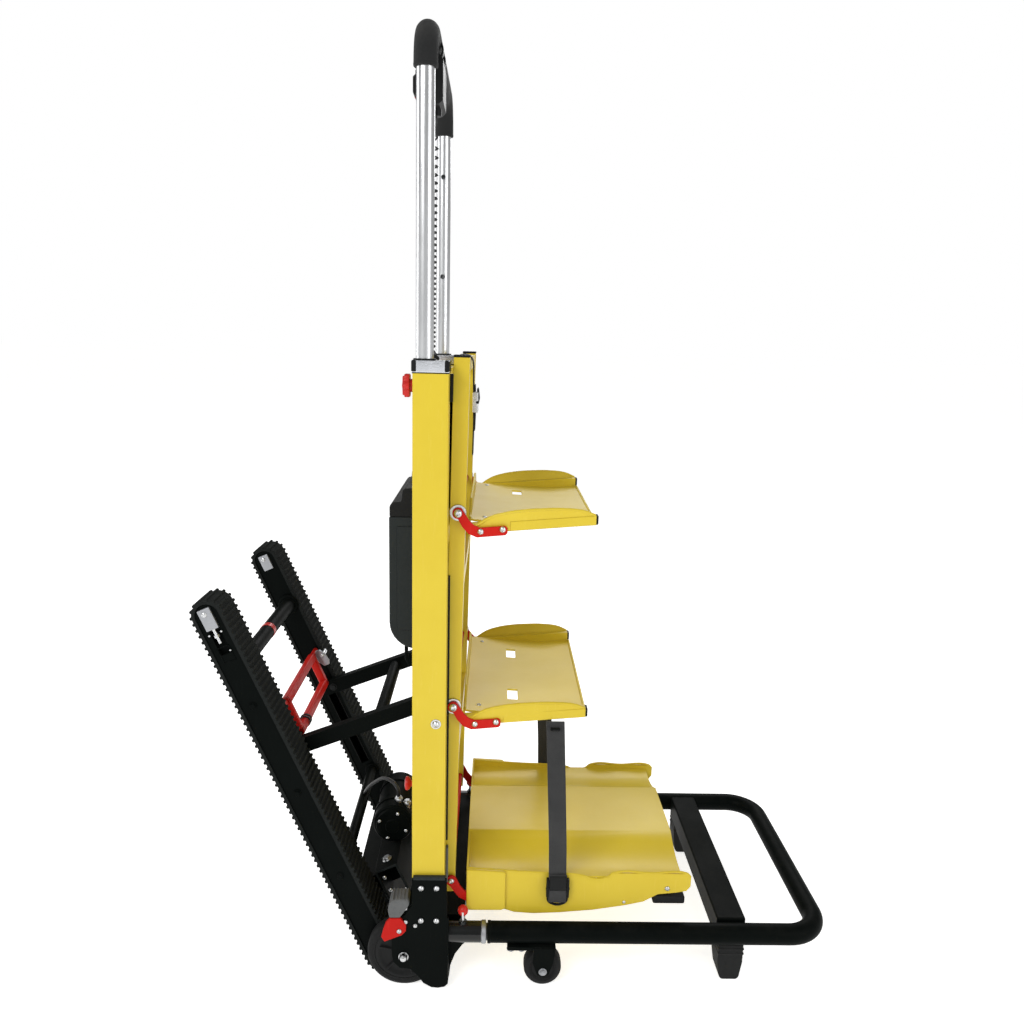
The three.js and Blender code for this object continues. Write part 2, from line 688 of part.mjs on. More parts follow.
// ---------- toe frame ----------
function addToeFrame() {
  const forward = new THREE.Vector3(1, 0, 0);
  const left = new THREE.Vector3(0, 1, 0);
  const right = new THREE.Vector3(0, -1, 0);
  const near = new THREE.Vector3(toeFront - toeCorner, -toeY + toeCorner, toeZ);
  const far = new THREE.Vector3(toeFront - toeCorner, toeY - toeCorner, toeZ);
  const path = [
    new THREE.Vector3(toeStart, -toeY, toeZ), ...bend(near, right, forward, toeCorner),
    ...bend(far, forward, left, toeCorner), new THREE.Vector3(toeStart, toeY, toeZ),
  ];
  const parts = [pipe(path, toeRadius, toeRadius - toeWall, 12)];
  parts.push(box(305, 350, -182, 182, 62, 100));
  for (const side of [-1, 1]) {
    const y = side * toeY;
    parts.push(box(14, 56, y - 19, y + 19, 61, 69));
    parts.push(box(24, 46, y - 19, y - 16, 20, 64));
    parts.push(box(24, 46, y + 16, y + 19, 20, 64));
  }
  const bores = [-1, 1].map((side) => rodX(side * toeY, toeZ, toeRadius - toeWall, toeStart - 5, 340, 12));
  bores.push(box(308, 347, -177, 177, 65, 97), box(320, 335, -184, 184, 78, 88));
  const axles = [-1, 1].map((side) => rodY(35, 29, 4.4, side * toeY - 30, side * toeY + 30));
  add('toe_frame', cut(join(...parts), ...bores, ...axles), blackPaint);

  addPair('caster_wheel', join(
    rodY(35, 29, 29, toeY - 13, toeY + 13, 24),
    rodY(35, 29, 4, toeY - 21, toeY + 21, 16),
  ), blackRubber);
  const foot = [[308, 61.5], [347, 61.5], [347, 30], [343, 4], [339, 0], [316, 0], [312, 4], [308, 30]];
  addPair('toe_foot', sidePlate(foot, 150, 192), blackRubber);
  const pin = join(
    rodZ(-88, toeY, 3.2, 86, 114, 16),
    new THREE.SphereGeometry(8, 12, 8).translate(-88, toeY, 119),
  );
  addPair('lock_pin', pin, redPlastic);
}

addMainFrame();
addBase();
addMainWheels();
addBrakes();
addLoadFrame();
addTrays();
addStraps();
addHandle();
addKnobs();
addBattery();
addTracks();
addLinkFrame();
addToeFrame();

export default trolley;
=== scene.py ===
import json
import math

import bmesh
import bpy
from mathutils import Matrix, Vector


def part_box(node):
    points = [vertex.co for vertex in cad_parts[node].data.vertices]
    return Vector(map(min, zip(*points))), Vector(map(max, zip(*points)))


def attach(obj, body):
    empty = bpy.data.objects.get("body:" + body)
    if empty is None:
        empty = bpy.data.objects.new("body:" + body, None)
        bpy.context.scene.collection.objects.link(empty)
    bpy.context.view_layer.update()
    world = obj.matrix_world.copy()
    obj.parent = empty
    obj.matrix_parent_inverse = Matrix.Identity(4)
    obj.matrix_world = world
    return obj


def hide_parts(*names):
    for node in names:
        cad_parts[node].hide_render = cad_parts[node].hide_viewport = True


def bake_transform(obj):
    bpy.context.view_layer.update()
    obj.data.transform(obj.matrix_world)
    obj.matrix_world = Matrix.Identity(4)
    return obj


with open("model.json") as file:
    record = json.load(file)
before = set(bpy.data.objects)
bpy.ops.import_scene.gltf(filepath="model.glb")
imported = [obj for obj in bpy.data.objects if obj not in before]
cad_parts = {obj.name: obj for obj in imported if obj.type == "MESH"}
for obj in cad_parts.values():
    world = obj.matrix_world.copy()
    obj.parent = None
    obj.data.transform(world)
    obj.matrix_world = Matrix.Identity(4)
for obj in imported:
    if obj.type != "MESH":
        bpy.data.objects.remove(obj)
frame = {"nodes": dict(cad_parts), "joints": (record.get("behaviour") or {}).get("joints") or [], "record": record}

# Stair climbing trolley: +X is the load side, +Z is up, the "r" side of each pair is at -Y.
print("trolley: frame loaded")
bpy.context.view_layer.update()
nodes = frame["nodes"]
joints = {joint["name"]: joint for joint in frame["joints"]}
mm = 0.001
sides = {"r": -1, "l": 1}


def at(x, y, z):
    return Vector((x, y, z)) * mm  # a place given in millimetres


def pivot(jointName):
    return Vector(joints[jointName]["pos_m"])


def low(node):
    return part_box(node)[0] / mm


def high(node):
    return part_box(node)[1] / mm


# Camera, light and floor: places in metres, angles in radians, the lens in millimetres.
view = {"place": (-0.0531, -1.3730, 0.9723), "yaw": 0.02152, "pitch": 0.19653, "roll": 0.02351, "lens": 30.55}


def addCamera():
    yaw, pitch, roll = view["yaw"], view["pitch"], view["roll"]
    forward = Vector((math.sin(yaw) * math.cos(pitch), math.cos(yaw) * math.cos(pitch), -math.sin(pitch)))
    right = Vector((math.cos(yaw), -math.sin(yaw), 0))
    up = right.cross(forward)
    tiltedRight = right * math.cos(roll) + up * math.sin(roll)
    tiltedUp = up * math.cos(roll) - right * math.sin(roll)
    camera = bpy.data.objects.new("viewCamera", bpy.data.cameras.new("viewCamera"))
    camera.data.lens = view["lens"]
    camera.data.clip_start = 0.02
    bpy.context.scene.collection.objects.link(camera)
    axes = Matrix((tiltedRight, tiltedUp, -forward)).transposed()
    camera.matrix_world = Matrix.Translation(view["place"]) @ axes.to_4x4()
    bpy.context.scene.camera = camera


studio = {
    "sky": 1.0, "fill": 0.36,   # what the camera sees behind the trolley, and what lights it
    "floor": (0.82, 0.82, 0.81), "floorGlow": 0.70, "floorHalf": 60.0,
    # name: place, aim, width, height, watts
    "lamps": {
        "keyLamp": ((-1.6, -2.6, 2.7), (0.0, 0.0, 0.7), 1.6, 1.6, 60),
        "frontLamp": ((2.4, -1.8, 1.6), (0.0, 0.0, 0.6), 1.2, 1.8, 26),
        "backLamp": ((0.6, 2.8, 2.4), (0.0, 0.0, 0.7), 2.0, 1.4, 38),
        "rearLamp": ((-2.8, 0.6, 1.5), (0.0, 0.0, 0.6), 1.0, 1.8, 24),
    },
}


def addStudio():
    world = bpy.data.worlds.new("paleWorld")
    world.use_nodes = True
    tree = world.node_tree
    path = tree.nodes.new("ShaderNodeLightPath")
    level = tree.nodes.new("ShaderNodeMapRange")
    level.inputs["To Min"].default_value = studio["fill"]
    level.inputs["To Max"].default_value = studio["sky"]
    tree.links.new(path.outputs["Is Camera Ray"], level.inputs["Value"])
    background = tree.nodes["Background"]
    background.inputs["Color"].default_value = (1, 1, 1, 1)
    tree.links.new(level.outputs["Result"], background.inputs["Strength"])
    bpy.context.scene.view_settings.view_transform = "Standard"
    bpy.context.scene.world = world
    for name, (place, aim, width, height, power) in studio["lamps"].items():
        lamp = bpy.data.lights.new(name, "AREA")
        lamp.shape = "RECTANGLE"
        lamp.size, lamp.size_y, lamp.energy = width, height, power
        holder = bpy.data.objects.new(name, lamp)
        holder.location = place
        holder.rotation_euler = (Vector(aim) - Vector(place)).to_track_quat("-Z", "Y").to_euler()
        bpy.context.scene.collection.objects.link(holder)
    bm = bmesh.new()
    bmesh.ops.create_grid(bm, x_segments=4, y_segments=4, size=studio["floorHalf"])
    mesh = bpy.data.meshes.new("studioFloor")
    bm.to_mesh(mesh)
    bm.free()
    floor = bpy.data.objects.new("studioFloor", mesh)
    bpy.context.scene.collection.objects.link(floor)
    paint = bpy.data.materials.new("floorPaint")
    paint.use_nodes = True
    shader = paint.node_tree.nodes["Principled BSDF"]
    shader.inputs["Base Color"].default_value = (*studio["floor"], 1)
    shader.inputs["Roughness"].default_value = 0.75
    shader.inputs["Emission Color"].default_value = (1, 1, 1, 1)
    shader.inputs["Emission Strength"].default_value = studio["floorGlow"]
    mesh.materials.append(paint)


addCamera()
addStudio()
print("trolley: camera and studio ready")


# Shader node groups, each built once and placed in the materials with its own values.
def node(tree, kind, **settings):
    made = tree.nodes.new(kind)
    for key, value in settings.items():
        if hasattr(made, key):
            setattr(made, key, value)
        else:
            made.inputs[key.replace("_", " ")].default_value = value
    return made


def newGroup(name, inputs, outputs):
    tree = bpy.data.node_groups.new(name, "ShaderNodeTree")
    for label, value in inputs.items():
        kind = "NodeSocketVector" if value == "vector" else "NodeSocketFloat"
        socket = tree.interface.new_socket(label, in_out="INPUT", socket_type=kind)
        if kind == "NodeSocketFloat":
            socket.default_value = value
    for label, kind in outputs.items():
        tree.interface.new_socket(label, in_out="OUTPUT", socket_type=kind)
    return tree, tree.nodes.new("NodeGroupInput"), tree.nodes.new("NodeGroupOutput")


def ramp(tree, source, start, end, toLow=0.0, toHigh=1.0):
    made = node(tree, "ShaderNodeMapRange")
    made.inputs["From Min"].default_value = start
    made.inputs["From Max"].default_value = end
    made.inputs["To Min"].default_value = toLow
    made.inputs["To Max"].default_value = toHigh
    tree.links.new(source, made.inputs["Value"])
    return made.outputs["Result"]


def math2(tree, operation, a, b):
    made = node(tree, "ShaderNodeMath", operation=operation)
    for socket, value in zip(made.inputs, (a, b)):
        if isinstance(value, (int, float)):
            socket.default_value = value
        else:
            tree.links.new(value, socket)
    return made.outputs[0]


def noiseOf(tree, vector, scale, detail=3.0, roughness=0.55):
    made = node(tree, "ShaderNodeTexNoise", Detail=detail, Roughness=roughness)
    tree.links.new(vector, made.inputs["Vector"])
    if isinstance(scale, (int, float)):
        made.inputs["Scale"].default_value = scale
    else:
        tree.links.new(scale, made.inputs["Scale"])
    return made.outputs["Fac"]


def objectPlace(tree):
    return node(tree, "ShaderNodeTexCoord").outputs["Object"]


def makeEdgeWear():
    # rubbed edges: where the rounded normal leaves the true one, broken up by noise
    tree, entry, leave = newGroup(
        "edgeWear", {"Radius": 0.0012, "Breakup": 60.0},
        {"Mask": "NodeSocketFloat", "Rounded": "NodeSocketVector"})
    bevel = node(tree, "ShaderNodeBevel", samples=4)
    tree.links.new(entry.outputs["Radius"], bevel.inputs["Radius"])
    face = node(tree, "ShaderNodeNewGeometry")
    dot = node(tree, "ShaderNodeVectorMath", operation="DOT_PRODUCT")
    tree.links.new(bevel.outputs["Normal"], dot.inputs[0])
    tree.links.new(face.outputs["Normal"], dot.inputs[1])
    away = ramp(tree, dot.outputs["Value"], 0.97, 0.82)
    broken = ramp(tree, noiseOf(tree, objectPlace(tree), entry.outputs["Breakup"], 5.0, 0.7), 0.5, 0.62)
    tree.links.new(math2(tree, "MULTIPLY", away, broken), leave.inputs["Mask"])
    tree.links.new(bevel.outputs["Normal"], leave.inputs["Rounded"])
    return tree


def makeGrain():
    # fine surface relief: orange peel or moulded grain, with a slower swell under it
    tree, entry, leave = newGroup(
        "surfaceGrain", {"Fine": 900.0, "Coarse": 90.0, "Swell": 0.3}, {"Height": "NodeSocketFloat"})
    place = objectPlace(tree)
    fine = noiseOf(tree, place, entry.outputs["Fine"], 2.0, 0.5)
    coarse = noiseOf(tree, place, entry.outputs["Coarse"], 2.0, 0.5)
    swell = math2(tree, "MULTIPLY", coarse, entry.outputs["Swell"])
    tree.links.new(math2(tree, "ADD", fine, swell), leave.inputs["Height"])
    return tree


def makeSmudge():
    # uneven handling: broad patches and fine rubbing streaks
    tree, entry, leave = newGroup(
        "handlingSmudge", {"Scale": 9.0}, {"Patches": "NodeSocketFloat", "Streaks": "NodeSocketFloat"})
    place = objectPlace(tree)
    patches = noiseOf(tree, place, entry.outputs["Scale"], 4.0, 0.6)
    tree.links.new(ramp(tree, patches, 0.35, 0.68), leave.inputs["Patches"])
    stretch = node(tree, "ShaderNodeMapping", vector_type="POINT")
    stretch.inputs["Scale"].default_value = (40.0, 40.0, 5.0)
    tree.links.new(place, stretch.inputs["Vector"])
    streaks = noiseOf(tree, stretch.outputs["Vector"], 6.0, 5.0, 0.7)
    tree.links.new(ramp(tree, streaks, 0.56, 0.74), leave.inputs["Streaks"])
    return tree


def makeDust():
    # dust that settles on faces turned upwards
    tree, entry, leave = newGroup("settledDust", {"Amount": 0.3}, {"Mask": "NodeSocketFloat"})
    face = node(tree, "ShaderNodeNewGeometry")
    split = node(tree, "ShaderNodeSeparateXYZ")
    tree.links.new(face.outputs["Normal"], split.inputs["Vector"])
    upward = ramp(tree, split.outputs["Z"], 0.25, 0.95)
    cloud = ramp(tree, noiseOf(tree, objectPlace(tree), 35.0, 6.0, 0.7), 0.4, 0.7)
    patch = math2(tree, "MULTIPLY", upward, cloud)
    tree.links.new(math2(tree, "MULTIPLY", patch, entry.outputs["Amount"]), leave.inputs["Mask"])
    return tree


def makeBrushing():
    # drawn or brushed metal: long thin lines along the stretched axis of the given vector
    tree, entry, leave = newGroup("brushedLines", {"Vector": "vector"}, {"Lines": "NodeSocketFloat"})
    fine = noiseOf(tree, entry.outputs["Vector"], 1.0, 4.0, 0.75)
    tree.links.new(ramp(tree, fine, 0.3, 0.7), leave.inputs["Lines"])
    return tree


def makeWeave():
    # flat webbing: U runs across the strap, V along it, both in millimetres
    tree, entry, leave = newGroup(
        "webbingWeave", {"Rib": 1.6}, {"Height": "NodeSocketFloat", "Shade": "NodeSocketFloat"})
    uv = node(tree, "ShaderNodeUVMap")
    split = node(tree, "ShaderNodeSeparateXYZ")
    tree.links.new(uv.outputs["UV"], split.inputs["Vector"])
    turns = math2(tree, "DIVIDE", 2 * math.pi, entry.outputs["Rib"])
    across = math2(tree, "MULTIPLY", split.outputs["X"], turns)
    along = math2(tree, "MULTIPLY", split.outputs["Y"], turns)
    warp = math2(tree, "ABSOLUTE", math2(tree, "SINE", across, 0.0), 0.0)
    weft = math2(tree, "ABSOLUTE", math2(tree, "SINE", along, 0.0), 0.0)
    woven = math2(tree, "MULTIPLY", warp, weft)
    tree.links.new(woven, leave.inputs["Height"])
    tree.links.new(ramp(tree, woven, 0.0, 0.8), leave.inputs["Shade"])
    return tree


edgeWear, surfaceGrain, handlingSmudge = makeEdgeWear(), makeGrain(), makeSmudge()
settledDust, brushedLines, webbingWeave = makeDust(), makeBrushing(), makeWeave()


# Materials: one recipe each for coated metal, bare metal, polymers and webbing, and their finishes.
def placeGroup(tree, group, **values):
    made = node(tree, "ShaderNodeGroup", node_tree=group)
    for key, value in values.items():
        made.inputs[key].default_value = value
    return made


def mixed(tree, factor, first, second):
    made = node(tree, "ShaderNodeMix", data_type="RGBA")
    for index, value in ((0, factor), (6, first), (7, second)):
        if isinstance(value, (int, float)):
            made.inputs[index].default_value = value
        elif isinstance(value, tuple):
            made.inputs[index].default_value = (*value, 1)
        else:
            tree.links.new(value, made.inputs[index])
    return made.outputs[2]


def startMaterial(name, **fixed):
    material = bpy.data.materials.new(name)
    material.use_nodes = True
    tree = material.node_tree
    shader = tree.nodes["Principled BSDF"]
    for key, value in fixed.items():
        shader.inputs[key.replace("_", " ")].default_value = value
    return material, tree, shader


def addRelief(tree, shader, height, strength, distance, normal=None):
    bump = node(tree, "ShaderNodeBump", Strength=strength, Distance=distance)
    tree.links.new(height, bump.inputs["Height"])
    if normal is not None:
        tree.links.new(normal, bump.inputs["Normal"])
    tree.links.new(bump.outputs["Normal"], shader.inputs["Normal"])


def coatedMetal(name, look):
    # powder coat or enamel: orange peel, rubbed edges, faint streaks and dust
    material, tree, shader = startMaterial(
        name, Metallic=0.0, Coat_Weight=look["coat"], Coat_Roughness=0.18, Specular_IOR_Level=look["gloss"])
    wear = placeGroup(tree, edgeWear, Radius=0.0011, Breakup=look["breakup"])
    smudge = placeGroup(tree, handlingSmudge, Scale=7.0)
    dust = placeGroup(tree, settledDust, Amount=look["dust"])
    grain = placeGroup(tree, surfaceGrain, Fine=look["peel"], Coarse=140.0, Swell=0.6)
    shade = mixed(tree, smudge.outputs["Patches"], look["colour"], look["second"])
    scuffs = math2(tree, "MULTIPLY", smudge.outputs["Streaks"], look["scuff"])
    scuffed = mixed(tree, scuffs, shade, look["rub"])
    worn = mixed(tree, math2(tree, "MULTIPLY", wear.outputs["Mask"], look["wear"]), scuffed, look["bare"])
    dusty = mixed(tree, dust.outputs["Mask"], worn, (0.42, 0.40, 0.36))
    tree.links.new(dusty, shader.inputs["Base Color"])
    rough = ramp(tree, smudge.outputs["Patches"], 0.0, 1.0, look["rough"] - 0.05, look["rough"] + 0.07)
    rougher = math2(tree, "ADD", rough, math2(tree, "MULTIPLY", dust.outputs["Mask"], 0.5))
    tree.links.new(rougher, shader.inputs["Roughness"])
    addRelief(tree, shader, grain.outputs["Height"], look["relief"], 0.0002, wear.outputs["Rounded"])
    return material


def plainMetal(name, look):
    # plated or drawn metal with fine lines along one axis
    material, tree, shader = startMaterial(name, Metallic=1.0)
    stretch = node(tree, "ShaderNodeMapping", vector_type="POINT")
    stretch.inputs["Scale"].default_value = look["lines"]
    tree.links.new(objectPlace(tree), stretch.inputs["Vector"])
    brushed = placeGroup(tree, brushedLines)
    tree.links.new(stretch.outputs["Vector"], brushed.inputs["Vector"])
    wear = placeGroup(tree, edgeWear, Radius=look["round"], Breakup=90.0)
    smudge = placeGroup(tree, handlingSmudge, Scale=14.0)
    lined = mixed(tree, brushed.outputs["Lines"], look["colour"], look["second"])
    stained = mixed(tree, math2(tree, "MULTIPLY", smudge.outputs["Patches"], 0.35), lined, look["stain"])
    tree.links.new(mixed(tree, wear.outputs["Mask"], stained, look["bare"]), shader.inputs["Base Color"])
    base = ramp(tree, brushed.outputs["Lines"], 0.0, 1.0, look["rough"] - 0.05, look["rough"] + 0.06)
    smeared = math2(tree, "ADD", base, math2(tree, "MULTIPLY", smudge.outputs["Patches"], 0.08))
    tree.links.new(smeared, shader.inputs["Roughness"])
    addRelief(tree, shader, brushed.outputs["Lines"], look["relief"], 0.00008, wear.outputs["Rounded"])
    return material


def softPolymer(name, look):
    # moulded plastic, rubber or foam: grain, paler rubbed edges and dust in the hollows
    material, tree, shader = startMaterial(
        name, Metallic=0.0, Specular_IOR_Level=look["gloss"], Sheen_Weight=look.get("sheen", 0.0))
    wear = placeGroup(tree, edgeWear, Radius=look["round"], Breakup=120.0)
    smudge = placeGroup(tree, handlingSmudge, Scale=18.0)
    dust = placeGroup(tree, settledDust, Amount=look["dust"])
    grain = placeGroup(tree, surfaceGrain, Fine=look["fine"], Coarse=look["coarse"], Swell=look["swell"])
    shade = mixed(tree, smudge.outputs["Patches"], look["colour"], look["second"])
    rubbed = mixed(tree, math2(tree, "MULTIPLY", wear.outputs["Mask"], look["wear"]), shade, look["rub"])
    speck = ramp(tree, grain.outputs["Height"], 0.5, 0.9, 0.0, look["speck"])
    specked = mixed(tree, speck, rubbed, look["rub"])
    dusty = mixed(tree, dust.outputs["Mask"], specked, (0.33, 0.31, 0.28))
    tree.links.new(dusty, shader.inputs["Base Color"])
    rough = ramp(tree, smudge.outputs["Patches"], 0.0, 1.0, look["rough"] - 0.06, look["rough"] + 0.06)
    tree.links.new(rough, shader.inputs["Roughness"])
    addRelief(tree, shader, grain.outputs["Height"], look["relief"], look["depth"], wear.outputs["Rounded"])
    return material


def wovenStrap(name):
    material, tree, shader = startMaterial(name, Sheen_Weight=0.25, Roughness=0.8, Specular_IOR_Level=0.3)
    weave = placeGroup(tree, webbingWeave, Rib=1.9)
    smudge = placeGroup(tree, handlingSmudge, Scale=25.0)
    thread = mixed(tree, weave.outputs["Shade"], (0.004, 0.004, 0.0045), (0.026, 0.027, 0.028))
    faded = mixed(tree, math2(tree, "MULTIPLY", smudge.outputs["Patches"], 0.35), thread, (0.05, 0.05, 0.05))
    tree.links.new(faded, shader.inputs["Base Color"])
    rough = ramp(tree, weave.outputs["Shade"], 0.0, 1.0, 0.9, 0.68)
    tree.links.new(rough, shader.inputs["Roughness"])
    addRelief(tree, shader, weave.outputs["Height"], 0.9, 0.0004)
    return material


paints = {
    "yellow": {
        "colour": (0.640, 0.485, 0.034), "second": (0.600, 0.445, 0.028), "rub": (0.72, 0.57, 0.10),
        "bare": (0.30, 0.22, 0.05), "coat": 0.05, "gloss": 0.22, "breakup": 55.0, "dust": 0.02, "peel": 700.0,
        "scuff": 0.20, "wear": 0.55, "rough": 0.36, "relief": 0.25},
    "red": {
        "colour": (0.520, 0.014, 0.009), "second": (0.450, 0.010, 0.007), "rub": (0.62, 0.06, 0.04),
        "bare": (0.16, 0.10, 0.09), "coat": 0.0, "gloss": 0.08, "breakup": 70.0, "dust": 0.01, "peel": 800.0,
        "scuff": 0.25, "wear": 0.6, "rough": 0.36, "relief": 0.25},
    "black": {
        "colour": (0.0018, 0.0028, 0.0024), "second": (0.0030, 0.0042, 0.0037), "rub": (0.015, 0.016, 0.015),
        "bare": (0.05, 0.05, 0.05), "coat": 0.0, "gloss": 0.03, "breakup": 80.0, "dust": 0.01, "peel": 1100.0,
        "scuff": 0.10, "wear": 0.40, "rough": 0.46, "relief": 0.45},
    "enamel": {
        "colour": (0.0030, 0.0038, 0.0036), "second": (0.0050, 0.0060, 0.0058), "rub": (0.03, 0.03, 0.03),
        "bare": (0.09, 0.09, 0.09), "coat": 0.20, "gloss": 0.25, "breakup": 80.0, "dust": 0.01, "peel": 500.0,
        "scuff": 0.10, "wear": 0.4, "rough": 0.16, "relief": 0.10},
    "glossBlack": {
        "colour": (0.0030, 0.0038, 0.0036), "second": (0.0050, 0.0060, 0.0058), "rub": (0.03, 0.03, 0.03),
        "bare": (0.09, 0.09, 0.09), "coat": 0.04, "gloss": 0.10, "breakup": 80.0, "dust": 0.01, "peel": 500.0,
        "scuff": 0.10, "wear": 0.4, "rough": 0.26, "relief": 0.12},
}
metals = {
    "aluminium": {
        "colour": (0.60, 0.61, 0.62), "second": (0.72, 0.73, 0.74), "stain": (0.50, 0.51, 0.52),
        "bare": (0.85, 0.85, 0.86), "lines": (900.0, 900.0, 5.0), "round": 0.0004, "rough": 0.27,
        "relief": 0.25},
    "chrome": {
        "colour": (0.74, 0.76, 0.80), "second": (0.80, 0.82, 0.85), "stain": (0.58, 0.61, 0.68),
        "bare": (0.92, 0.92, 0.94), "lines": (60.0, 60.0, 60.0), "round": 0.0006, "rough": 0.12,
        "relief": 0.5},
    "castAlloy": {
        "colour": (0.34, 0.35, 0.37), "second": (0.40, 0.41, 0.43), "stain": (0.28, 0.29, 0.30),
        "bare": (0.62, 0.62, 0.64), "lines": (120.0, 120.0, 120.0), "round": 0.0005, "rough": 0.42,
        "relief": 0.2},
    "zinc": {
        "colour": (0.55, 0.56, 0.57), "second": (0.68, 0.69, 0.70), "stain": (0.42, 0.42, 0.40),
        "bare": (0.85, 0.85, 0.86), "lines": (500.0, 500.0, 500.0), "round": 0.0003, "rough": 0.26,
        "relief": 0.3},
}
polymers = {
    "blackPlastic": {
        "colour": (0.0060, 0.0066, 0.0066), "second": (0.0090, 0.0096, 0.0096), "rub": (0.04, 0.04, 0.04),
        "gloss": 0.12, "round": 0.0008, "dust": 0.03, "fine": 1500.0, "coarse": 300.0, "swell": 0.4,
        "wear": 0.5, "speck": 0.10, "rough": 0.46, "relief": 0.35, "depth": 0.0002},
    "greyPlastic": {
        "colour": (0.0110, 0.0150, 0.0155), "second": (0.0150, 0.0195, 0.0200), "rub": (0.06, 0.065, 0.065),
        "gloss": 0.15, "round": 0.0010, "dust": 0.04, "fine": 1300.0, "coarse": 260.0, "swell": 0.5,
        "wear": 0.5, "speck": 0.12, "rough": 0.50, "relief": 0.5, "depth": 0.0003},
    "tyreRubber": {
        "colour": (0.0060, 0.0066, 0.0066), "second": (0.0100, 0.0106, 0.0104), "rub": (0.045, 0.045, 0.045),
        "gloss": 0.11, "round": 0.0010, "dust": 0.04, "fine": 600.0, "coarse": 120.0, "swell": 0.8,
        "wear": 0.5, "speck": 0.15, "rough": 0.68, "relief": 0.4, "depth": 0.0003},
    "beltRubber": {
        "colour": (0.0050, 0.0060, 0.0058), "second": (0.0085, 0.0096, 0.0092), "rub": (0.036, 0.040, 0.038),
        "gloss": 0.04, "round": 0.0008, "dust": 0.02, "fine": 500.0, "coarse": 90.0, "swell": 0.9,
        "wear": 0.9, "speck": 0.25, "rough": 0.76, "relief": 0.6, "depth": 0.0004},
    "gripFoam": {
        "colour": (0.0075, 0.0082, 0.0086), "second": (0.0105, 0.0112, 0.0116), "rub": (0.03, 0.03, 0.03),
        "gloss": 0.14, "sheen": 0.05, "round": 0.0010, "dust": 0.10, "fine": 1600.0, "coarse": 500.0,
        "swell": 1.0, "wear": 0.3, "speck": 0.30, "rough": 0.82, "relief": 0.9, "depth": 0.0004},
    "pedalRubber": {
        "colour": (0.070, 0.074, 0.074), "second": (0.095, 0.099, 0.099), "rub": (0.18, 0.18, 0.18),
        "gloss": 0.25, "sheen": 0.05, "round": 0.0010, "dust": 0.20, "fine": 700.0, "coarse": 150.0,
        "swell": 0.8, "wear": 0.5, "speck": 0.25, "rough": 0.78, "relief": 0.6, "depth": 0.0004},
    "redPlastic": {
        "colour": (0.560, 0.020, 0.014), "second": (0.480, 0.014, 0.010), "rub": (0.72, 0.16, 0.12),
        "gloss": 0.25, "round": 0.0008, "dust": 0.03, "fine": 900.0, "coarse": 200.0, "swell": 0.3,
        "wear": 0.4, "speck": 0.05, "rough": 0.30, "relief": 0.2, "depth": 0.0002},
    "cableJacket": {
        "colour": (0.0080, 0.0080, 0.0085), "second": (0.0120, 0.0120, 0.0125), "rub": (0.04, 0.04, 0.04),
        "gloss": 0.45, "round": 0.0003, "dust": 0.05, "fine": 1200.0, "coarse": 300.0, "swell": 0.4,
        "wear": 0.3, "speck": 0.05, "rough": 0.42, "relief": 0.2, "depth": 0.0001},
    "labelWhite": {
        "colour": (0.62, 0.62, 0.60), "second": (0.55, 0.55, 0.53), "rub": (0.40, 0.38, 0.35),
        "gloss": 0.4, "round": 0.0004, "dust": 0.10, "fine": 900.0, "coarse": 200.0, "swell": 0.3,
        "wear": 0.5, "speck": 0.10, "rough": 0.45, "relief": 0.15, "depth": 0.0001},
}
finishes = {name: coatedMetal(name, look) for name, look in paints.items()}
finishes.update({name: plainMetal(name, look) for name, look in metals.items()})
finishes.update({name: softPolymer(name, look) for name, look in polymers.items()})
finishes["webbing"] = wovenStrap("webbing")
slotFinish = {
    "yellow_paint": "yellow", "red_paint": "red", "black_paint": "black", "chrome_cap": "chrome",
    "handle_aluminium": "aluminium", "zinc_steel": "zinc", "black_plastic": "blackPlastic",
    "grey_plastic": "greyPlastic", "tyre_rubber": "tyreRubber", "belt_rubber": "beltRubber",
    "grip_foam": "gripFoam", "pedal_rubber": "pedalRubber", "strap_webbing": "webbing",
    "red_plastic": "redPlastic",
}
slotOfNode = {part["node"]: part["material_slot"] for part in frame["record"]["subparts"]}
for name, item in nodes.items():
    item.data.materials.clear()
    item.data.materials.append(finishes[slotFinish[slotOfNode[name]]])
print("trolley: materials ready")


# Mesh tools. Sizes come in as millimetres, and each tool returns a bmesh in metres.
def vertsOf(geometry):
    return [item for item in geometry if isinstance(item, bmesh.types.BMVert)]


def edgesOf(geometry):
    return [item for item in geometry if isinstance(item, bmesh.types.BMEdge)]


def bevelSharp(bm, width, segments=2, angle=30):
    limit = math.radians(angle)
    sharp = [edge for edge in bm.edges if edge.is_manifold and edge.calc_face_angle(0) > limit]
    bmesh.ops.bevel(bm, geom=sharp, offset=width * mm, offset_type="OFFSET", affect="EDGES",
                    segments=segments, profile=0.5, material=-1, clamp_overlap=True)
    return bm


def block(lowest, highest, bevel=0.5, segments=2):
    bm = bmesh.new()
    lowest, highest = at(*lowest), at(*highest)
    size = Matrix.Diagonal((*(highest - lowest), 1))
    bmesh.ops.create_cube(bm, size=1, matrix=Matrix.Translation((lowest + highest) / 2) @ size)
    return bevelSharp(bm, bevel, segments) if bevel else bm


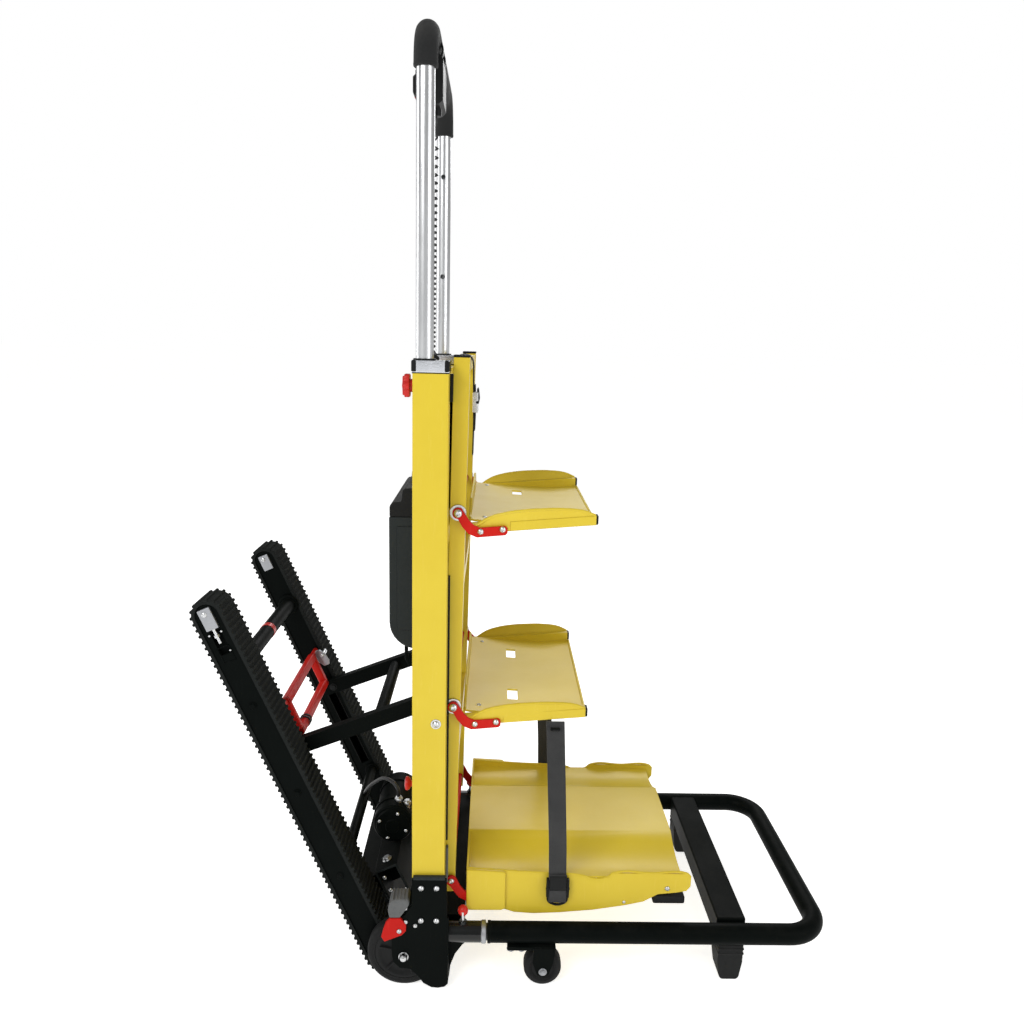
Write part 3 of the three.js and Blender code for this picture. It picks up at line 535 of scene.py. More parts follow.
def plate(outline, start, end, across="y", bevel=0.4, segments=2, angle=30):
    # an outline given in the other two axes, made solid from start to end
    bm = bmesh.new()
    seats = {"y": lambda a, b: (a, start, b), "x": lambda a, b: (start, a, b),
             "z": lambda a, b: (a, b, start)}
    thick = {"y": (0, end - start, 0), "x": (end - start, 0, 0), "z": (0, 0, end - start)}[across]
    face = bm.faces.new([bm.verts.new(at(*seats[across](a, b))) for a, b in outline])
    grown = bmesh.ops.extrude_face_region(bm, geom=[face])["geom"]
    bmesh.ops.translate(bm, vec=at(*thick), verts=vertsOf(grown))
    bmesh.ops.recalc_face_normals(bm, faces=bm.faces)
    return bevelSharp(bm, bevel, segments, angle) if bevel else bm


def aimed(bm, centre, axis):
    turn = Vector((0, 0, 1)).rotation_difference(Vector(axis)).to_matrix().to_4x4()
    bmesh.ops.transform(bm, matrix=Matrix.Translation(at(*centre)) @ turn, verts=bm.verts)
    return bm


def lathe(profile, centre=(0, 0, 0), axis=(0, 0, 1), steps=32, closed=False):
    # (radius, height) points turned about an axis through centre
    bm = bmesh.new()
    verts = [bm.verts.new(at(radius, 0, height)) for radius, height in profile]
    ring = verts + verts[:1] if closed else verts
    edges = [bm.edges.new(pair) for pair in zip(ring, ring[1:])]
    bmesh.ops.spin(bm, geom=verts + edges, cent=(0, 0, 0), axis=(0, 0, 1), angle=2 * math.pi, steps=steps,
                   use_merge=True)
    bmesh.ops.remove_doubles(bm, verts=bm.verts, dist=1e-6)
    bmesh.ops.recalc_face_normals(bm, faces=bm.faces)
    return aimed(bm, centre, axis)


def rod(start, end, radius, steps=24, rim=0.5):
    start, end = Vector(start), Vector(end)
    length = (end - start).length
    profile = [(0, 0), (radius - rim, 0), (radius, rim), (radius, length - rim), (radius - rim, length),
               (0, length)]
    return lathe(profile, start, end - start, steps)


def ringTube(start, end, outer, inner, steps=32, rim=0.4):
    start, end = Vector(start), Vector(end)
    length = (end - start).length
    profile = [(inner, 0), (outer - rim, 0), (outer, rim), (outer, length - rim), (outer - rim, length),
               (inner, length)]
    return lathe(profile, start, end - start, steps, closed=True)


def sweep(bm, edges, moves, weld=False):
    # carries an open ring of edges along straight runs ("go") and bends ("turn")
    for move in moves:
        if move[0] == "go":
            grown = bmesh.ops.extrude_edge_only(bm, edges=edges)["geom"]
            bmesh.ops.translate(bm, vec=move[1], verts=vertsOf(grown))
        else:
            centre, axis, angle, steps = move[1:]
            spun = bmesh.ops.spin(bm, geom=edges, cent=centre, axis=axis, angle=angle, steps=steps)
            grown = spun["geom_last"]
        edges = edgesOf(grown)
        if move[0] == "go":
            fresh = set(vertsOf(grown))
            edges = [e for e in edges if e.verts[0] in fresh and e.verts[1] in fresh]
    if weld:
        bmesh.ops.remove_doubles(bm, verts=bm.verts, dist=1e-5)
    else:
        bmesh.ops.holes_fill(bm, edges=[e for e in bm.edges if e.is_boundary], sides=0)
    bmesh.ops.recalc_face_normals(bm, faces=bm.faces)
    return bm


def roundRun(start, direction, radius, moves, steps=32):
    # a round bar or tube that starts at a place and follows the moves, all in millimetres
    bm = bmesh.new()
    turn = Vector((0, 0, 1)).rotation_difference(Vector(direction)).to_matrix().to_4x4()
    bmesh.ops.create_circle(bm, cap_ends=False, segments=steps, radius=radius * mm,
                            matrix=Matrix.Translation(at(*start)) @ turn)
    metres = [(kind, at(*place), *rest) for kind, place, *rest in moves]
    return sweep(bm, list(bm.edges), metres)


def wire(points, radius, closed=False, smooth=True, steps=3):
    # a bent wire or cable through given points in millimetres
    curve = bpy.data.curves.new("wire", "CURVE")
    curve.dimensions = "3D"
    spline = curve.splines.new("BEZIER" if smooth else "POLY")
    places = [at(*point) for point in points]
    if smooth:
        spline.bezier_points.add(len(places) - 1)
        for knot, place in zip(spline.bezier_points, places):
            knot.co = place
            knot.handle_left_type = knot.handle_right_type = "AUTO"
        spline.resolution_u = 8
    else:
        spline.points.add(len(places) - 1)
        for knot, place in zip(spline.points, places):
            knot.co = (*place, 1)
    spline.use_cyclic_u = closed
    curve.bevel_depth = radius * mm
    curve.bevel_resolution = steps
    curve.use_fill_caps = not closed
    holder = bpy.data.objects.new("wire", curve)
    bpy.context.scene.collection.objects.link(holder)
    bpy.context.view_layer.update()
    mesh = bpy.data.meshes.new_from_object(holder.evaluated_get(bpy.context.evaluated_depsgraph_get()))
    bm = bmesh.new()
    bm.from_mesh(mesh)
    bmesh.ops.remove_doubles(bm, verts=bm.verts, dist=1e-6)
    bmesh.ops.recalc_face_normals(bm, faces=bm.faces)
    bpy.data.objects.remove(holder)
    bpy.data.meshes.remove(mesh)
    return bm


def refined(name, bevel=0.6, segments=2, angle=32):
    # a merged copy of a CAD node with its edges rounded
    bm = bmesh.new()
    bm.from_mesh(nodes[name].data)
    bmesh.ops.remove_doubles(bm, verts=bm.verts, dist=2e-5)
    bmesh.ops.dissolve_limit(bm, angle_limit=math.radians(1.2), verts=bm.verts, edges=bm.edges)
    return bevelSharp(bm, bevel, segments, angle)


def moved(bm, matrix):
    bmesh.ops.transform(bm, matrix=matrix, verts=bm.verts)
    return bm


def mirroredParts(parts):
    for bm in parts:
        bmesh.ops.scale(bm, vec=(1, -1, 1), verts=bm.verts)
        bmesh.ops.reverse_faces(bm, faces=bm.faces)
    return parts


def joined(parts):
    bm = bmesh.new()
    for part in parts:
        scrap = bpy.data.meshes.new("scrap")
        part.to_mesh(scrap)
        part.free()
        bm.from_mesh(scrap)
        bpy.data.meshes.remove(scrap)
    return bm


def finishPiece(name, parts, body, finish, slot=None, stands=(), smooth=35, blendTo=None):
    bm = joined(parts)
    limit = math.radians(smooth)
    for face in bm.faces:
        face.smooth = True
        face.material_index = 0
    for edge in bm.edges:
        edge.smooth = edge.is_manifold and edge.calc_face_angle(0) < limit
    mesh = bpy.data.meshes.new(name)
    bm.to_mesh(mesh)
    bm.free()
    mesh.materials.append(finishes[finish])
    item = bpy.data.objects.new(name, mesh)
    bpy.context.scene.collection.objects.link(item)
    weights = item.modifiers.new("faceWeights", "WEIGHTED_NORMAL")
    weights.keep_sharp = True
    if blendTo is None:
        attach(item, body)
    if stands:
        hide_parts(*stands)
    return item


def pairPiece(name, build, body, finish, slot=None, stands=None, **settings):
    # builds the -Y piece, then its mirror; {} in body and stands becomes the side letter
    for side in sides:
        parts = build() if side == "r" else mirroredParts(build())
        replaced = [stands.format(side)] if stands else ()
        finishPiece(f"{name}_{side}", parts, body.format(side), finish, slot, replaced, **settings)


def hexHead(centre, axis, across, height, washer=0.0):
    # a hexagon head or nut with chamfered corners, on an optional washer
    corner = across / math.sqrt(3)
    bm = lathe([(0, 0), (corner, 0), (corner, height), (corner * 0.82, height), (0, height)], steps=6)
    bevelSharp(bm, min(0.5, height * 0.15), 1)
    parts = [aimed(bm, centre, axis)]
    if washer:
        top = Vector(centre) + Vector(axis).normalized() * 1.2
        parts.append(ringTube(centre, top, washer, corner * 0.5, 28))
    return parts


def domeHead(centre, axis, radius, height, socket=True, washer=0.0):
    # a button head screw, with its hexagon socket
    arc = [(radius * math.cos(a), height * math.sin(a)) for a in (i * math.pi / 16 for i in range(1, 6))]
    profile = [(0, 0), (radius, 0)] + arc
    if socket:
        profile += [(radius * 0.48, height * 0.93), (radius * 0.42, height * 0.45), (0, height * 0.35)]
    else:
        profile += [(radius * 0.3, height * 0.96), (0, height)]
    parts = [lathe(profile, centre, axis, 24)]
    if washer:
        top = Vector(centre) + Vector(axis).normalized() * 0.9
        parts.append(ringTube(centre, top, washer, radius * 0.5, 28))
    return parts


# Curly control cord and its gland.
# wire is its diameter, coil the coil's mean radius; the pitch opens towards the top
curlyCord = {"wire": 2.7, "coil": 5.0, "lead": 16.0, "headLead": 46.0, "drift": -3.6, "pitchLow": 6.4,
             "pitchHigh": 14.0, "pointsPerTurn": 16}
glandDetail = {"foot": 10, "radius": 7.5, "neck": 3.0, "ribs": 4, "ribPitch": 2.6}


def cordRoute():
    # straight out of the gland, coiled between the two leads, straight into the control box
    foot, top = low("control_cord"), high("control_cord")
    x, y = (foot.x + top.x) / 2, (foot.y + top.y) / 2
    lead = curlyCord["lead"]
    points, height, angle = [], foot.z, 0.0
    while height < top.z:
        fromEnd = min((height - foot.z) / lead, (top.z - height) / curlyCord["headLead"])
        spread = min(max(fromEnd, 0.0), 1.0)
        spread = spread * spread * (3 - 2 * spread)
        share = (height - foot.z) / (top.z - foot.z)
        pitch = curlyCord["pitchLow"] + (curlyCord["pitchHigh"] - curlyCord["pitchLow"]) * share * share
        middle = x + curlyCord["drift"] * spread * (1.5 - share)
        points.append((middle + curlyCord["coil"] * spread * math.cos(angle),
                       y + curlyCord["coil"] * spread * math.sin(angle), height))
        angle += 2 * math.pi / curlyCord["pointsPerTurn"]
        height += pitch / curlyCord["pointsPerTurn"] * (1 + 1.2 * (1 - spread))
    points.append((x, y, top.z))
    return points


def makeCord():
    points = cordRoute()
    cord = finishPiece("curlyCord", [wire(points, curlyCord["wire"] / 2, smooth=False, steps=2)], None,
                       "cableJacket", "black_plastic", ["control_cord"], smooth=60, blendTo="handle")
    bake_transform(cord)


def makeGland():
    lowest, highest = low("cord_gland"), high("cord_gland")
    centre = (lowest + highest) / 2
    start, radius, height = glandDetail["foot"], glandDetail["radius"], highest.z - lowest.z
    foot = block(lowest, (highest.x, highest.y, lowest.z + start), 1.2, 3)
    ribs = [(0, start - 1), (radius, start - 1)]
    for i in range(glandDetail["ribs"]):
        z = start + i * glandDetail["ribPitch"]
        ribs += [(radius, z), (radius - 1.1, z + 0.6), (radius - 1.1, z + 1.6),
                 (radius - 0.2 - i * 0.4, z + 2.2)]
    ribs += [(glandDetail["neck"], height), (0, height)]
    sleeve = lathe(ribs, (centre.x, centre.y, lowest.z), steps=32)
    finishPiece("cordGland", [foot, sleeve], "frame", "blackPlastic", "black_plastic", ["cord_gland"])


makeCord()
makeGland()
print("trolley: curly cord ready")


# Main frame, load frame and the parts fixed to them.
frameDetail = {
    "postRound": 2.6, "capInset": 7.0,
    "plugY": 160.5, "plugHalf": 13,                          # end plugs of the load frame's posts
    "gussetFrom": -109, "gussetDrop": 14, "gussetTop": 9,    # gusset stepped in behind the toe tube
    "linkBolt": (-130, 429), "linkBoltOuter": -211,
    "plateBoltX": (-150, -127), "plateBoltZ": (171, 117), "plateBolt": 4.6,
    "smallBolts": ((-158.5, 108.5, 3.4), (-173, 114.5, 3.6)),
    "tapeBumps": 15, "tapePitch": 3.05,
    "lowerKnob": (-164, -193, 327)}
stubDetail = {"radius": 15.6, "mouth": -52.5, "spigot": 12.7, "spigotEnd": 40, "collar": 16.8, "pinBoss": 6.2}


def makePosts():
    finishPiece("mainFrame", [refined("main_frame", frameDetail["postRound"], 4)], "frame", "yellow",
                "yellow_paint", ["main_frame"])
    finishPiece("loadFrame", [refined("load_frame", 1.6, 3)], "frame", "yellow", "yellow_paint",
                ["load_frame"])


def postCapShell(side):
    # cast centre of the cap, with the hole that the handle slides in, and its two plastic ends
    lowest, highest = low(f"post_cap_{side}"), high(f"post_cap_{side}")
    inset = frameDetail["capInset"]
    under, over = (lowest.y - 0.5, lowest.z), (highest.y + 0.5, highest.z + 0.6)
    rear = block((lowest.x - 0.6, *under), (lowest.x + inset, *over), 2.2, 3)
    front = block((highest.x - inset, *under), (highest.x + 0.6, *over), 2.2, 3)
    return refined(f"post_cap_{side}", 1.2, 3), rear, front


def makeCaps():
    handleX = (low("handle_tube").x + high("handle_tube").x) / 2
    for side, sign in sides.items():
        shell, rearEnd, frontEnd = postCapShell(side)
        finishPiece(f"postCap_{side}", [shell], "frame", "chrome", "chrome_cap", [f"post_cap_{side}"])
        lowest, highest = low(f"post_cap_{side}"), high(f"post_cap_{side}")
        middleY = (lowest.y + highest.y) / 2
        collar = ringTube((handleX, middleY, highest.z - 1), (handleX, middleY, highest.z + 2.2), 15.4, 12.3,
                          40)
        skirt = block((lowest.x + 0.4, lowest.y + 0.4, lowest.z - 1.4), (highest.x - 0.4, highest.y - 0.4,
                      lowest.z + 1.2), 0.4, 2)
        postTop = high("load_frame").z
        topX = nodeTopX("load_frame", postTop)
        plugY, plugHalf = sign * frameDetail["plugY"], frameDetail["plugHalf"]
        plug = block((topX - 22.6, plugY - plugHalf, postTop + 0.2),
                     (topX + 0.6, plugY + plugHalf, postTop + 3.6), 1.4, 3)
        finishPiece(f"capEnds_{side}", [rearEnd, frontEnd, collar, skirt, plug], "frame", "blackPlastic",
                    "black_plastic")


def nodeTopX(name, height):
    # the furthest forward point of a node near a height
    return max(v.co.x / mm for v in nodes[name].data.vertices if abs(v.co.z / mm - height) < 12)


def spacerParts():
    # dark strips that fill the slot between the two posts
    front = high("post_cap_r").x - 1
    upper = [(front + 0.3, 886), (front + 4.4, 886), (front + 5.0, 924), (front + 0.3, 924)]
    lower = [(front - 0.7, 226), (front + 2.8, 226), (front + 2.8, 640), (front - 0.7, 640)]
    return [plate(upper, -181, -172), plate(lower, -179, -174)]


def hingeStripParts():
    # grey strip at the foot of the slot
    front = high("post_cap_r").x - 1
    return [block((front + 0.4, -184, 158), (front + 3.8, -174, 216), 0.8, 2)]


def frameBoltParts():
    x, z = frameDetail["linkBolt"]
    parts = domeHead((x, frameDetail["linkBoltOuter"], z), (0, -1, 0), 5.6, 4.4, washer=7.4)
    return parts + hexHead((x, -175, z), (0, 1, 0), 12, 5)


def plateBoltParts():
    outer = low("side_plate_r").y
    parts = []
    for x in frameDetail["plateBoltX"]:
        for z in frameDetail["plateBoltZ"]:
            parts += domeHead((x, outer, z), (0, -1, 0), frameDetail["plateBolt"], 3.6)
    for x, z, radius in frameDetail["smallBolts"]:
        parts += domeHead((x, outer, z), (0, -1, 0), radius, 3.0, socket=False)
    return parts


def sidePlateParts():
    # the pressed side plate: its gusset is stepped in behind the toe tube, its top edge inside the tube
    plateCopy = refined("side_plate_r", 1.0, 3)
    step = frameDetail["gussetFrom"]
    for x in (step, step + 0.6):
        bmesh.ops.bisect_plane(plateCopy, geom=plateCopy.verts[:] + plateCopy.edges[:] + plateCopy.faces[:],
                               plane_co=at(x, 0, 0), plane_no=(1, 0, 0))
    gusset = [v for v in plateCopy.verts if v.co.x / mm > step + 0.3]
    highest = max(v.co.z for v in gusset) / mm
    brow = [v for v in gusset if v.co.z / mm > highest - 3]
    bmesh.ops.translate(plateCopy, vec=at(0, frameDetail["gussetDrop"], 0), verts=gusset)
    lift = pinPlace().z + frameDetail["gussetTop"] - highest
    bmesh.ops.translate(plateCopy, vec=at(0, 0, lift), verts=brow)
    return [plateCopy]


def gripTapeParts():
    outer = low("side_plate_r").y
    parts = [block((-161.5, outer - 0.4, 184.2), (-114.5, outer + 5.0, 189.8), 0.5, 2)]
    for i in range(frameDetail["tapeBumps"]):
        x, z = -160.5 + i * frameDetail["tapePitch"], 184.9 + (i % 2) * 1.1
        parts.append(block((x, outer - 0.9, z), (x + 1.8, outer + 0.2, z + 3.1), 0.35, 1))
    return parts


def toeStubParts():
    # the tube behind the mouth, the spigot that slides in the toe frame, and the lock pin's boss
    x, y, z = pinPlace()
    mouth = stubDetail["mouth"]
    return [rod((low("toe_stub_r").x, y, z), (mouth, y, z), stubDetail["radius"], 48, 1.0),
            rod((mouth - 3.5, y, z), (stubDetail["spigotEnd"], y, z), stubDetail["spigot"], 32, 1.5),
            ringTube((x, y, z + 14.2), (x, y, z + 19.5), stubDetail["pinBoss"], 3.4, 28, 0.8)]


def stubCollarParts():
    _, y, z = pinPlace()
    mouth = stubDetail["mouth"]
    return [ringTube((mouth - 7.5, y, z), (mouth + 0.3, y, z), stubDetail["collar"], 14.0, 48, 1.2)]


def pinPlace():
    # centre line of the near toe tube at the lock pin
    stubLow, stubHigh = low("toe_stub_r"), high("toe_stub_r")
    return Vector((-88, (stubLow.y + stubHigh.y) / 2, (stubLow.z + stubHigh.z) / 2))


def lockPinParts():
    ball = (low("lock_pin_r") + high("lock_pin_r")) / 2
    top = high("lock_pin_r").z
    profile = [(0, -8.0), (3.6, -7.9), (5.0, -6.6), (7.4, -3.4), (8.0, 0), (7.4, 3.4), (5.4, 6.2), (2.8, 7.7),
               (0, 8.0)]
    return [lathe(profile, (ball.x, ball.y, top - 8), steps=36)]


def lockPinShaftParts():
    ball = (low("lock_pin_r") + high("lock_pin_r")) / 2
    base, top = low("lock_pin_r").z, high("lock_pin_r").z
    shaft = rod((ball.x, ball.y, base), (ball.x, ball.y, top - 15), 3.2, 24)
    insert = block((ball.x - 1.4, ball.y - 8.4, top - 15.4), (ball.x + 1.4, ball.y + 0.5, top - 6), 0.4, 2)
    return [shaft, insert]


def lowerKnobParts():
    # small pull knob behind the near post
    profile = [(0, 0), (4.5, 0), (4.8, 3), (8.6, 5), (10.2, 8), (9.6, 10.8), (6.0, 12.0), (0, 12.2)]
    return [lathe(profile, frameDetail["lowerKnob"], (-1, 0, 0), 32)]


def makeFrameTrim():
    pairPiece("slotStrip", spacerParts, "frame", "blackPlastic", "black_plastic")
    pairPiece("hingeStrip", hingeStripParts, "frame", "pedalRubber", "pedal_rubber")
    pairPiece("frameBolts", frameBoltParts, "frame", "zinc", "zinc_steel")
    pairPiece("plateBolts", plateBoltParts, "frame", "zinc", "zinc_steel")
    pairPiece("sidePlate", sidePlateParts, "frame", "black", "black_paint", "side_plate_{}")
    pairPiece("gripTape", gripTapeParts, "frame", "greyPlastic", "grey_plastic")
    pairPiece("toeStub", toeStubParts, "frame", "enamel", "black_paint", "toe_stub_{}")
    pairPiece("stubCollar", stubCollarParts, "frame", "castAlloy", "zinc_steel")
    pairPiece("lockKnob", lockPinParts, "pin_{}", "redPlastic", "red_plastic", "lock_pin_{}")
    pairPiece("lockShaft", lockPinShaftParts, "pin_{}", "zinc", "zinc_steel")
    finishPiece("lowerKnob", lowerKnobParts(), "frame", "redPlastic", "red_plastic")
    finishPiece("baseBeam", [refined("base_beam", 0.8, 2)], "frame", "black", "black_paint", ["base_beam"])


makePosts()
makeCaps()
makeFrameTrim()
print("trolley: frame and its trim ready")


# Telescopic handle.
handleDetail = {"radius": 12.0, "corner": 48.0, "wall": 2.0, "holeZ": (1075, 1238), "holeRadius": 4.0,
                "gripRadius": 15.5, "bore": 700}
controlDetail = {"bezelY": (-127, -101), "bezelZ": (1283, 1320), "clampY": (-126, -78),
                 "clampAt": (-149, 1345), "screwZ": (1286, 1332), "stopY": -80}
knobDetail = {"lobes": 6, "lobeDepth": 1.9, "grow": 1.5, "points": 48, "boss": 9}


def handleMoves(foot, top):
    # up one leg, round both corners of the bridge and down the other leg
    corner = handleDetail["corner"]
    x = (low("handle_tube").x + high("handle_tube").x) / 2
    y = high("handle_tube").y - handleDetail["radius"]
    rise = top - corner - foot
    level = (x, 0, top - corner)
    return x, y, [
        ("go", (0, 0, rise)), ("turn", (x, -y + corner, level[2]), (-1, 0, 0), math.pi / 2, 10),
        ("go", (0, 2 * (y - corner), 0)), ("turn", (x, y - corner, level[2]), (-1, 0, 0), math.pi / 2, 10),
        ("go", (0, 0, -rise))]


def cutWith(item, cutter):
    # subtracts one loose object from another, removes both and returns the result
    cut = item.modifiers.new("holes", "BOOLEAN")
    cut.object, cut.operation, cut.solver = cutter, "DIFFERENCE", "EXACT"
    bpy.context.view_layer.update()
    mesh = bpy.data.meshes.new_from_object(item.evaluated_get(bpy.context.evaluated_depsgraph_get()))
    bm = bmesh.new()
    bm.from_mesh(mesh)
    for holder in (item, cutter):
        bpy.data.objects.remove(holder)
    return bm


def looseObject(bm):
    mesh = bpy.data.meshes.new("loose")
    bm.to_mesh(mesh)
    bm.free()
    item = bpy.data.objects.new("loose", mesh)
    bpy.context.scene.collection.objects.link(item)
    return item


def makeHandle():
    foot = low("handle_tube").z
    grasp = handleDetail["gripRadius"]
    top = high("handle_grip").z - grasp
    x, y, moves = handleMoves(foot, top)
    outer = roundRun((x, -y, foot), (0, 0, 1), handleDetail["radius"], moves, 40)
    bores = [roundRun((x, side * y, foot - 5), (0, 0, 1), handleDetail["radius"] - handleDetail["wall"],
                      [("go", (0, 0, handleDetail["bore"]))], 32) for side in (-1, 1)]
    holes = [rod((x, side * (y - 20), z), (x, side * y, z), handleDetail["holeRadius"], 24, 0.1)
             for z in handleDetail["holeZ"] for side in (-1, 1)]
    tube = cutWith(looseObject(outer), looseObject(joined(bores)))
    tube = cutWith(looseObject(tube), looseObject(joined(holes)))
    finishPiece("handleTube", [tube], "handle", "aluminium", "handle_aluminium", ["handle_tube"], smooth=30)
    gripFoot = low("handle_grip").z
    _, _, gripMoves = handleMoves(gripFoot + 2.5, top)
    grip = roundRun((x, -y, gripFoot + 2.5), (0, 0, 1), grasp, gripMoves, 40)
    cuffs = [lathe([(12.3, 0), (14.6, 0), (15.6, 1.0), (15.8, 3.0), (15.5, 5.0), (12.3, 5.0)],
                   (x, side * y, gripFoot), steps=40, closed=True) for side in (-1, 1)]
    finishPiece("handleGrip", [grip] + cuffs, "handle", "gripFoam", "grip_foam", ["handle_grip"], smooth=50)


def makeControls():
    lowest, highest = low("control_box"), high("control_box")
    box = refined("control_box", 2.2, 4)
    seam = block((lowest.x + 14, lowest.y - 0.5, lowest.z + 12),
                 (lowest.x + 15.2, highest.y + 0.5, highest.z + 0.5), 0.3, 1)
    (bezelRight, bezelLeft), (bezelLow, bezelHigh) = controlDetail["bezelY"], controlDetail["bezelZ"]
    bezel = block((lowest.x - 1.2, bezelRight, bezelLow), (lowest.x + 3, bezelLeft, bezelHigh), 1.2, 2)
    clampX, clampZ = controlDetail["clampAt"]
    clamps = [ringTube((clampX, y, clampZ), (clampX, y + 12, clampZ), 18.2, 15.7, 32, 1.0)
              for y in controlDetail["clampY"]]
    finishPiece("controlBox", [box, seam, bezel] + clamps, "handle", "blackPlastic", "black_plastic",
                ["control_box"])
    screws = []
    for face, out in ((lowest.y, -1), (highest.y, 1)):
        for z in controlDetail["screwZ"]:
            screws += domeHead((lowest.x + 18, face, z), (0, out, 0), 2.6, 1.6)
    finishPiece("controlScrews", screws, "handle", "zinc", "zinc_steel")
    rocker = refined("drive_rocker", 1.2, 3)
    finishPiece("driveRocker", [rocker], "rocker", "blackPlastic", "black_plastic", ["drive_rocker"])
    y, z = controlDetail["stopY"], (low("stop_button").z + high("stop_button").z) / 2
    profile = [(0, 0), (5.0, 0), (5.2, 2.4), (7.6, 2.8), (8.0, 4.2), (7.2, 5.8), (4.0, 6.6), (0, 6.8)]
    button = lathe(profile, (high("stop_button").x, y, z), (-1, 0, 0), 36)
    finishPiece("stopButton", [button], "button", "redPlastic", "red_plastic", ["stop_button"])


def knobParts():
    # six-lobed star knob in two tiers, on its threaded boss
    lowest, highest = low("clamp_knob_r"), high("clamp_knob_r")
    y, z = (lowest.y + highest.y) / 2, (lowest.z + highest.z) / 2
    lobes, depth, count = knobDetail["lobes"], knobDetail["lobeDepth"], knobDetail["points"]
    radius = (highest.z - lowest.z) / 2 + knobDetail["grow"]
    parts = []
    for start, end, scale in ((lowest.x + 2.4, lowest.x + 9.6, 1.0), (lowest.x, lowest.x + 3.0, 0.84)):
        outline = []
        for i in range(count):
            angle = 2 * math.pi * i / count
            reach = scale * (radius - depth + depth * math.cos(lobes * angle))
            outline.append((y + reach * math.cos(angle), z + reach * math.sin(angle)))
        parts.append(plate(outline, start, end, across="x", bevel=1.1, segments=2, angle=40))
    parts.append(rod((lowest.x + 8, y, z), (highest.x, y, z), knobDetail["boss"], 32, 0.8))
    return parts


def knobStudParts():
    lowest, highest = low("clamp_knob_r"), high("clamp_knob_r")
    y, z = (lowest.y + highest.y) / 2, (lowest.z + highest.z) / 2
    return hexHead((lowest.x + 0.5, y, z), (-1, 0, 0), 8, 1.0)


makeHandle()
makeControls()
pairPiece("clampKnob", knobParts, "knob_{}", "redPlastic", "red_plastic", "clamp_knob_{}", smooth=45)
pairPiece("knobStud", knobStudParts, "knob_{}", "zinc", "zinc_steel")
print("trolley: handle, controls and knobs ready")


# Battery box.
batteryDetail = {"panelInset": 22, "ribs": 9, "ribPitch": 9, "catchY": 78, "gripWire": 4.0, "port": (62, 626),
                 "lamps": 4, "lampPitch": 12, "screw": 3.6, "hookWire": 3.0}


def makeBattery():
    lowest, highest = low("battery_case"), high("battery_case")
    case = refined("battery_case", 2.6, 4)
    rear = lowest.x
    inset, catchY = batteryDetail["panelInset"], batteryDetail["catchY"]
    panel = block((rear - 1.4, lowest.y + inset, lowest.z + 58),
                  (rear + 3, highest.y - inset, highest.z - 18), 1.4, 3)
    ribZ = [lowest.z + 70 + i * batteryDetail["ribPitch"] for i in range(batteryDetail["ribs"])]
    ribs = [block((rear - 2.2, lowest.y + 40, z), (rear + 2, highest.y - 110, z + 3), 0.8, 2) for z in ribZ]
    ends = [block((lowest.x + 12, side * 119, lowest.z + 30), (highest.x - 8, side * 121.4, highest.z - 14),
                  0.9, 2) for side in (-1, 1)]
    finishPiece("batteryCase", [case, panel] + ribs + ends, "frame", "greyPlastic", "grey_plastic",
                ["battery_case"])
    lid = refined("battery_lid", 1.8, 3)
    catches = [block((rear - 2.0, y - 14, highest.z - 12), (rear + 3.5, y + 14, highest.z + 12), 1.4, 3)
               for y in (-catchY, catchY)]
    carryGrip = wire([(-176, -50, 753), (-176, -48, 766), (-176, -36, 770), (-176, 36, 770), (-176, 48, 766),
                      (-176, 50, 753)], batteryDetail["gripWire"])
    finishPiece("batteryLid", [lid, carryGrip] + catches, "frame", "blackPlastic", "black_plastic",
                ["battery_lid"])
    portY, portZ = batteryDetail["port"]
    port = [rod((rear - 4.5, portY, portZ), (rear + 1, portY, portZ), 13, 36, 1.4),
            rod((rear - 6.0, portY, portZ), (rear - 4, portY, portZ), 10, 36, 0.8),
            block((rear - 4.0, portY - 30, portZ + 34), (rear + 1, portY + 30, portZ + 54), 1.2, 2)]
    finishPiece("batteryPort", port, "frame", "blackPlastic", "black_plastic")
    lampY = [portY - 25 + i * batteryDetail["lampPitch"] for i in range(batteryDetail["lamps"])]
    lamps = [block((rear - 4.6, y, portZ + 40), (rear - 2, y + 8, portZ + 48), 0.6, 2) for y in lampY]
    finishPiece("chargeLamps", lamps, "frame", "labelWhite")
    screws = []
    for y in (-90, 90):
        for z in (572, 690):
            screws += domeHead((rear - 1.4, y, z), (-1, 0, 0), batteryDetail["screw"], 2.0)
    for y in (-catchY, catchY):
        screws += hexHead((-165, y, lowest.z), (0, 0, -1), 11, 6, 8)
    screws += hexHead((-190, -60, 506), (0, 0, -1), 10, 4)
    finishPiece("batteryScrews", screws, "frame", "zinc", "zinc_steel")
    hook = wire([(-187, -60, 503), (-187, -60, 478), (-185, -60, 466), (-179, -60, 460), (-173, -60, 466),
                 (-171, -60, 478), (-171, -60, 503)], batteryDetail["hookWire"])
    finishPiece("batteryBail", [hook], "bail", "black", "black_paint", ["battery_bail"])


makeBattery()
print("trolley: battery ready")


# Track units, drawn upright from the drive shaft and then tilted back.
trackDetail = {
    "tilt": 24, "length": 598, "half": 22.5, "thick": 5, "lugPitch": 9.6, "lugHeight": 2.6, "lugWidth": 5.4,
    "inner": 129, "outer": 186, "cheekBoltZ": (150, 300, 450), "slotFrom": 180, "slotTo": 348}
shaftPlace = pivot("drive_shaft_spin")
trackTurn = Matrix.Translation(shaftPlace) @ Matrix.Rotation(math.radians(-trackDetail["tilt"]), 4, "Y")


def tilted(parts):
    return [moved(bm, trackTurn) for bm in parts]


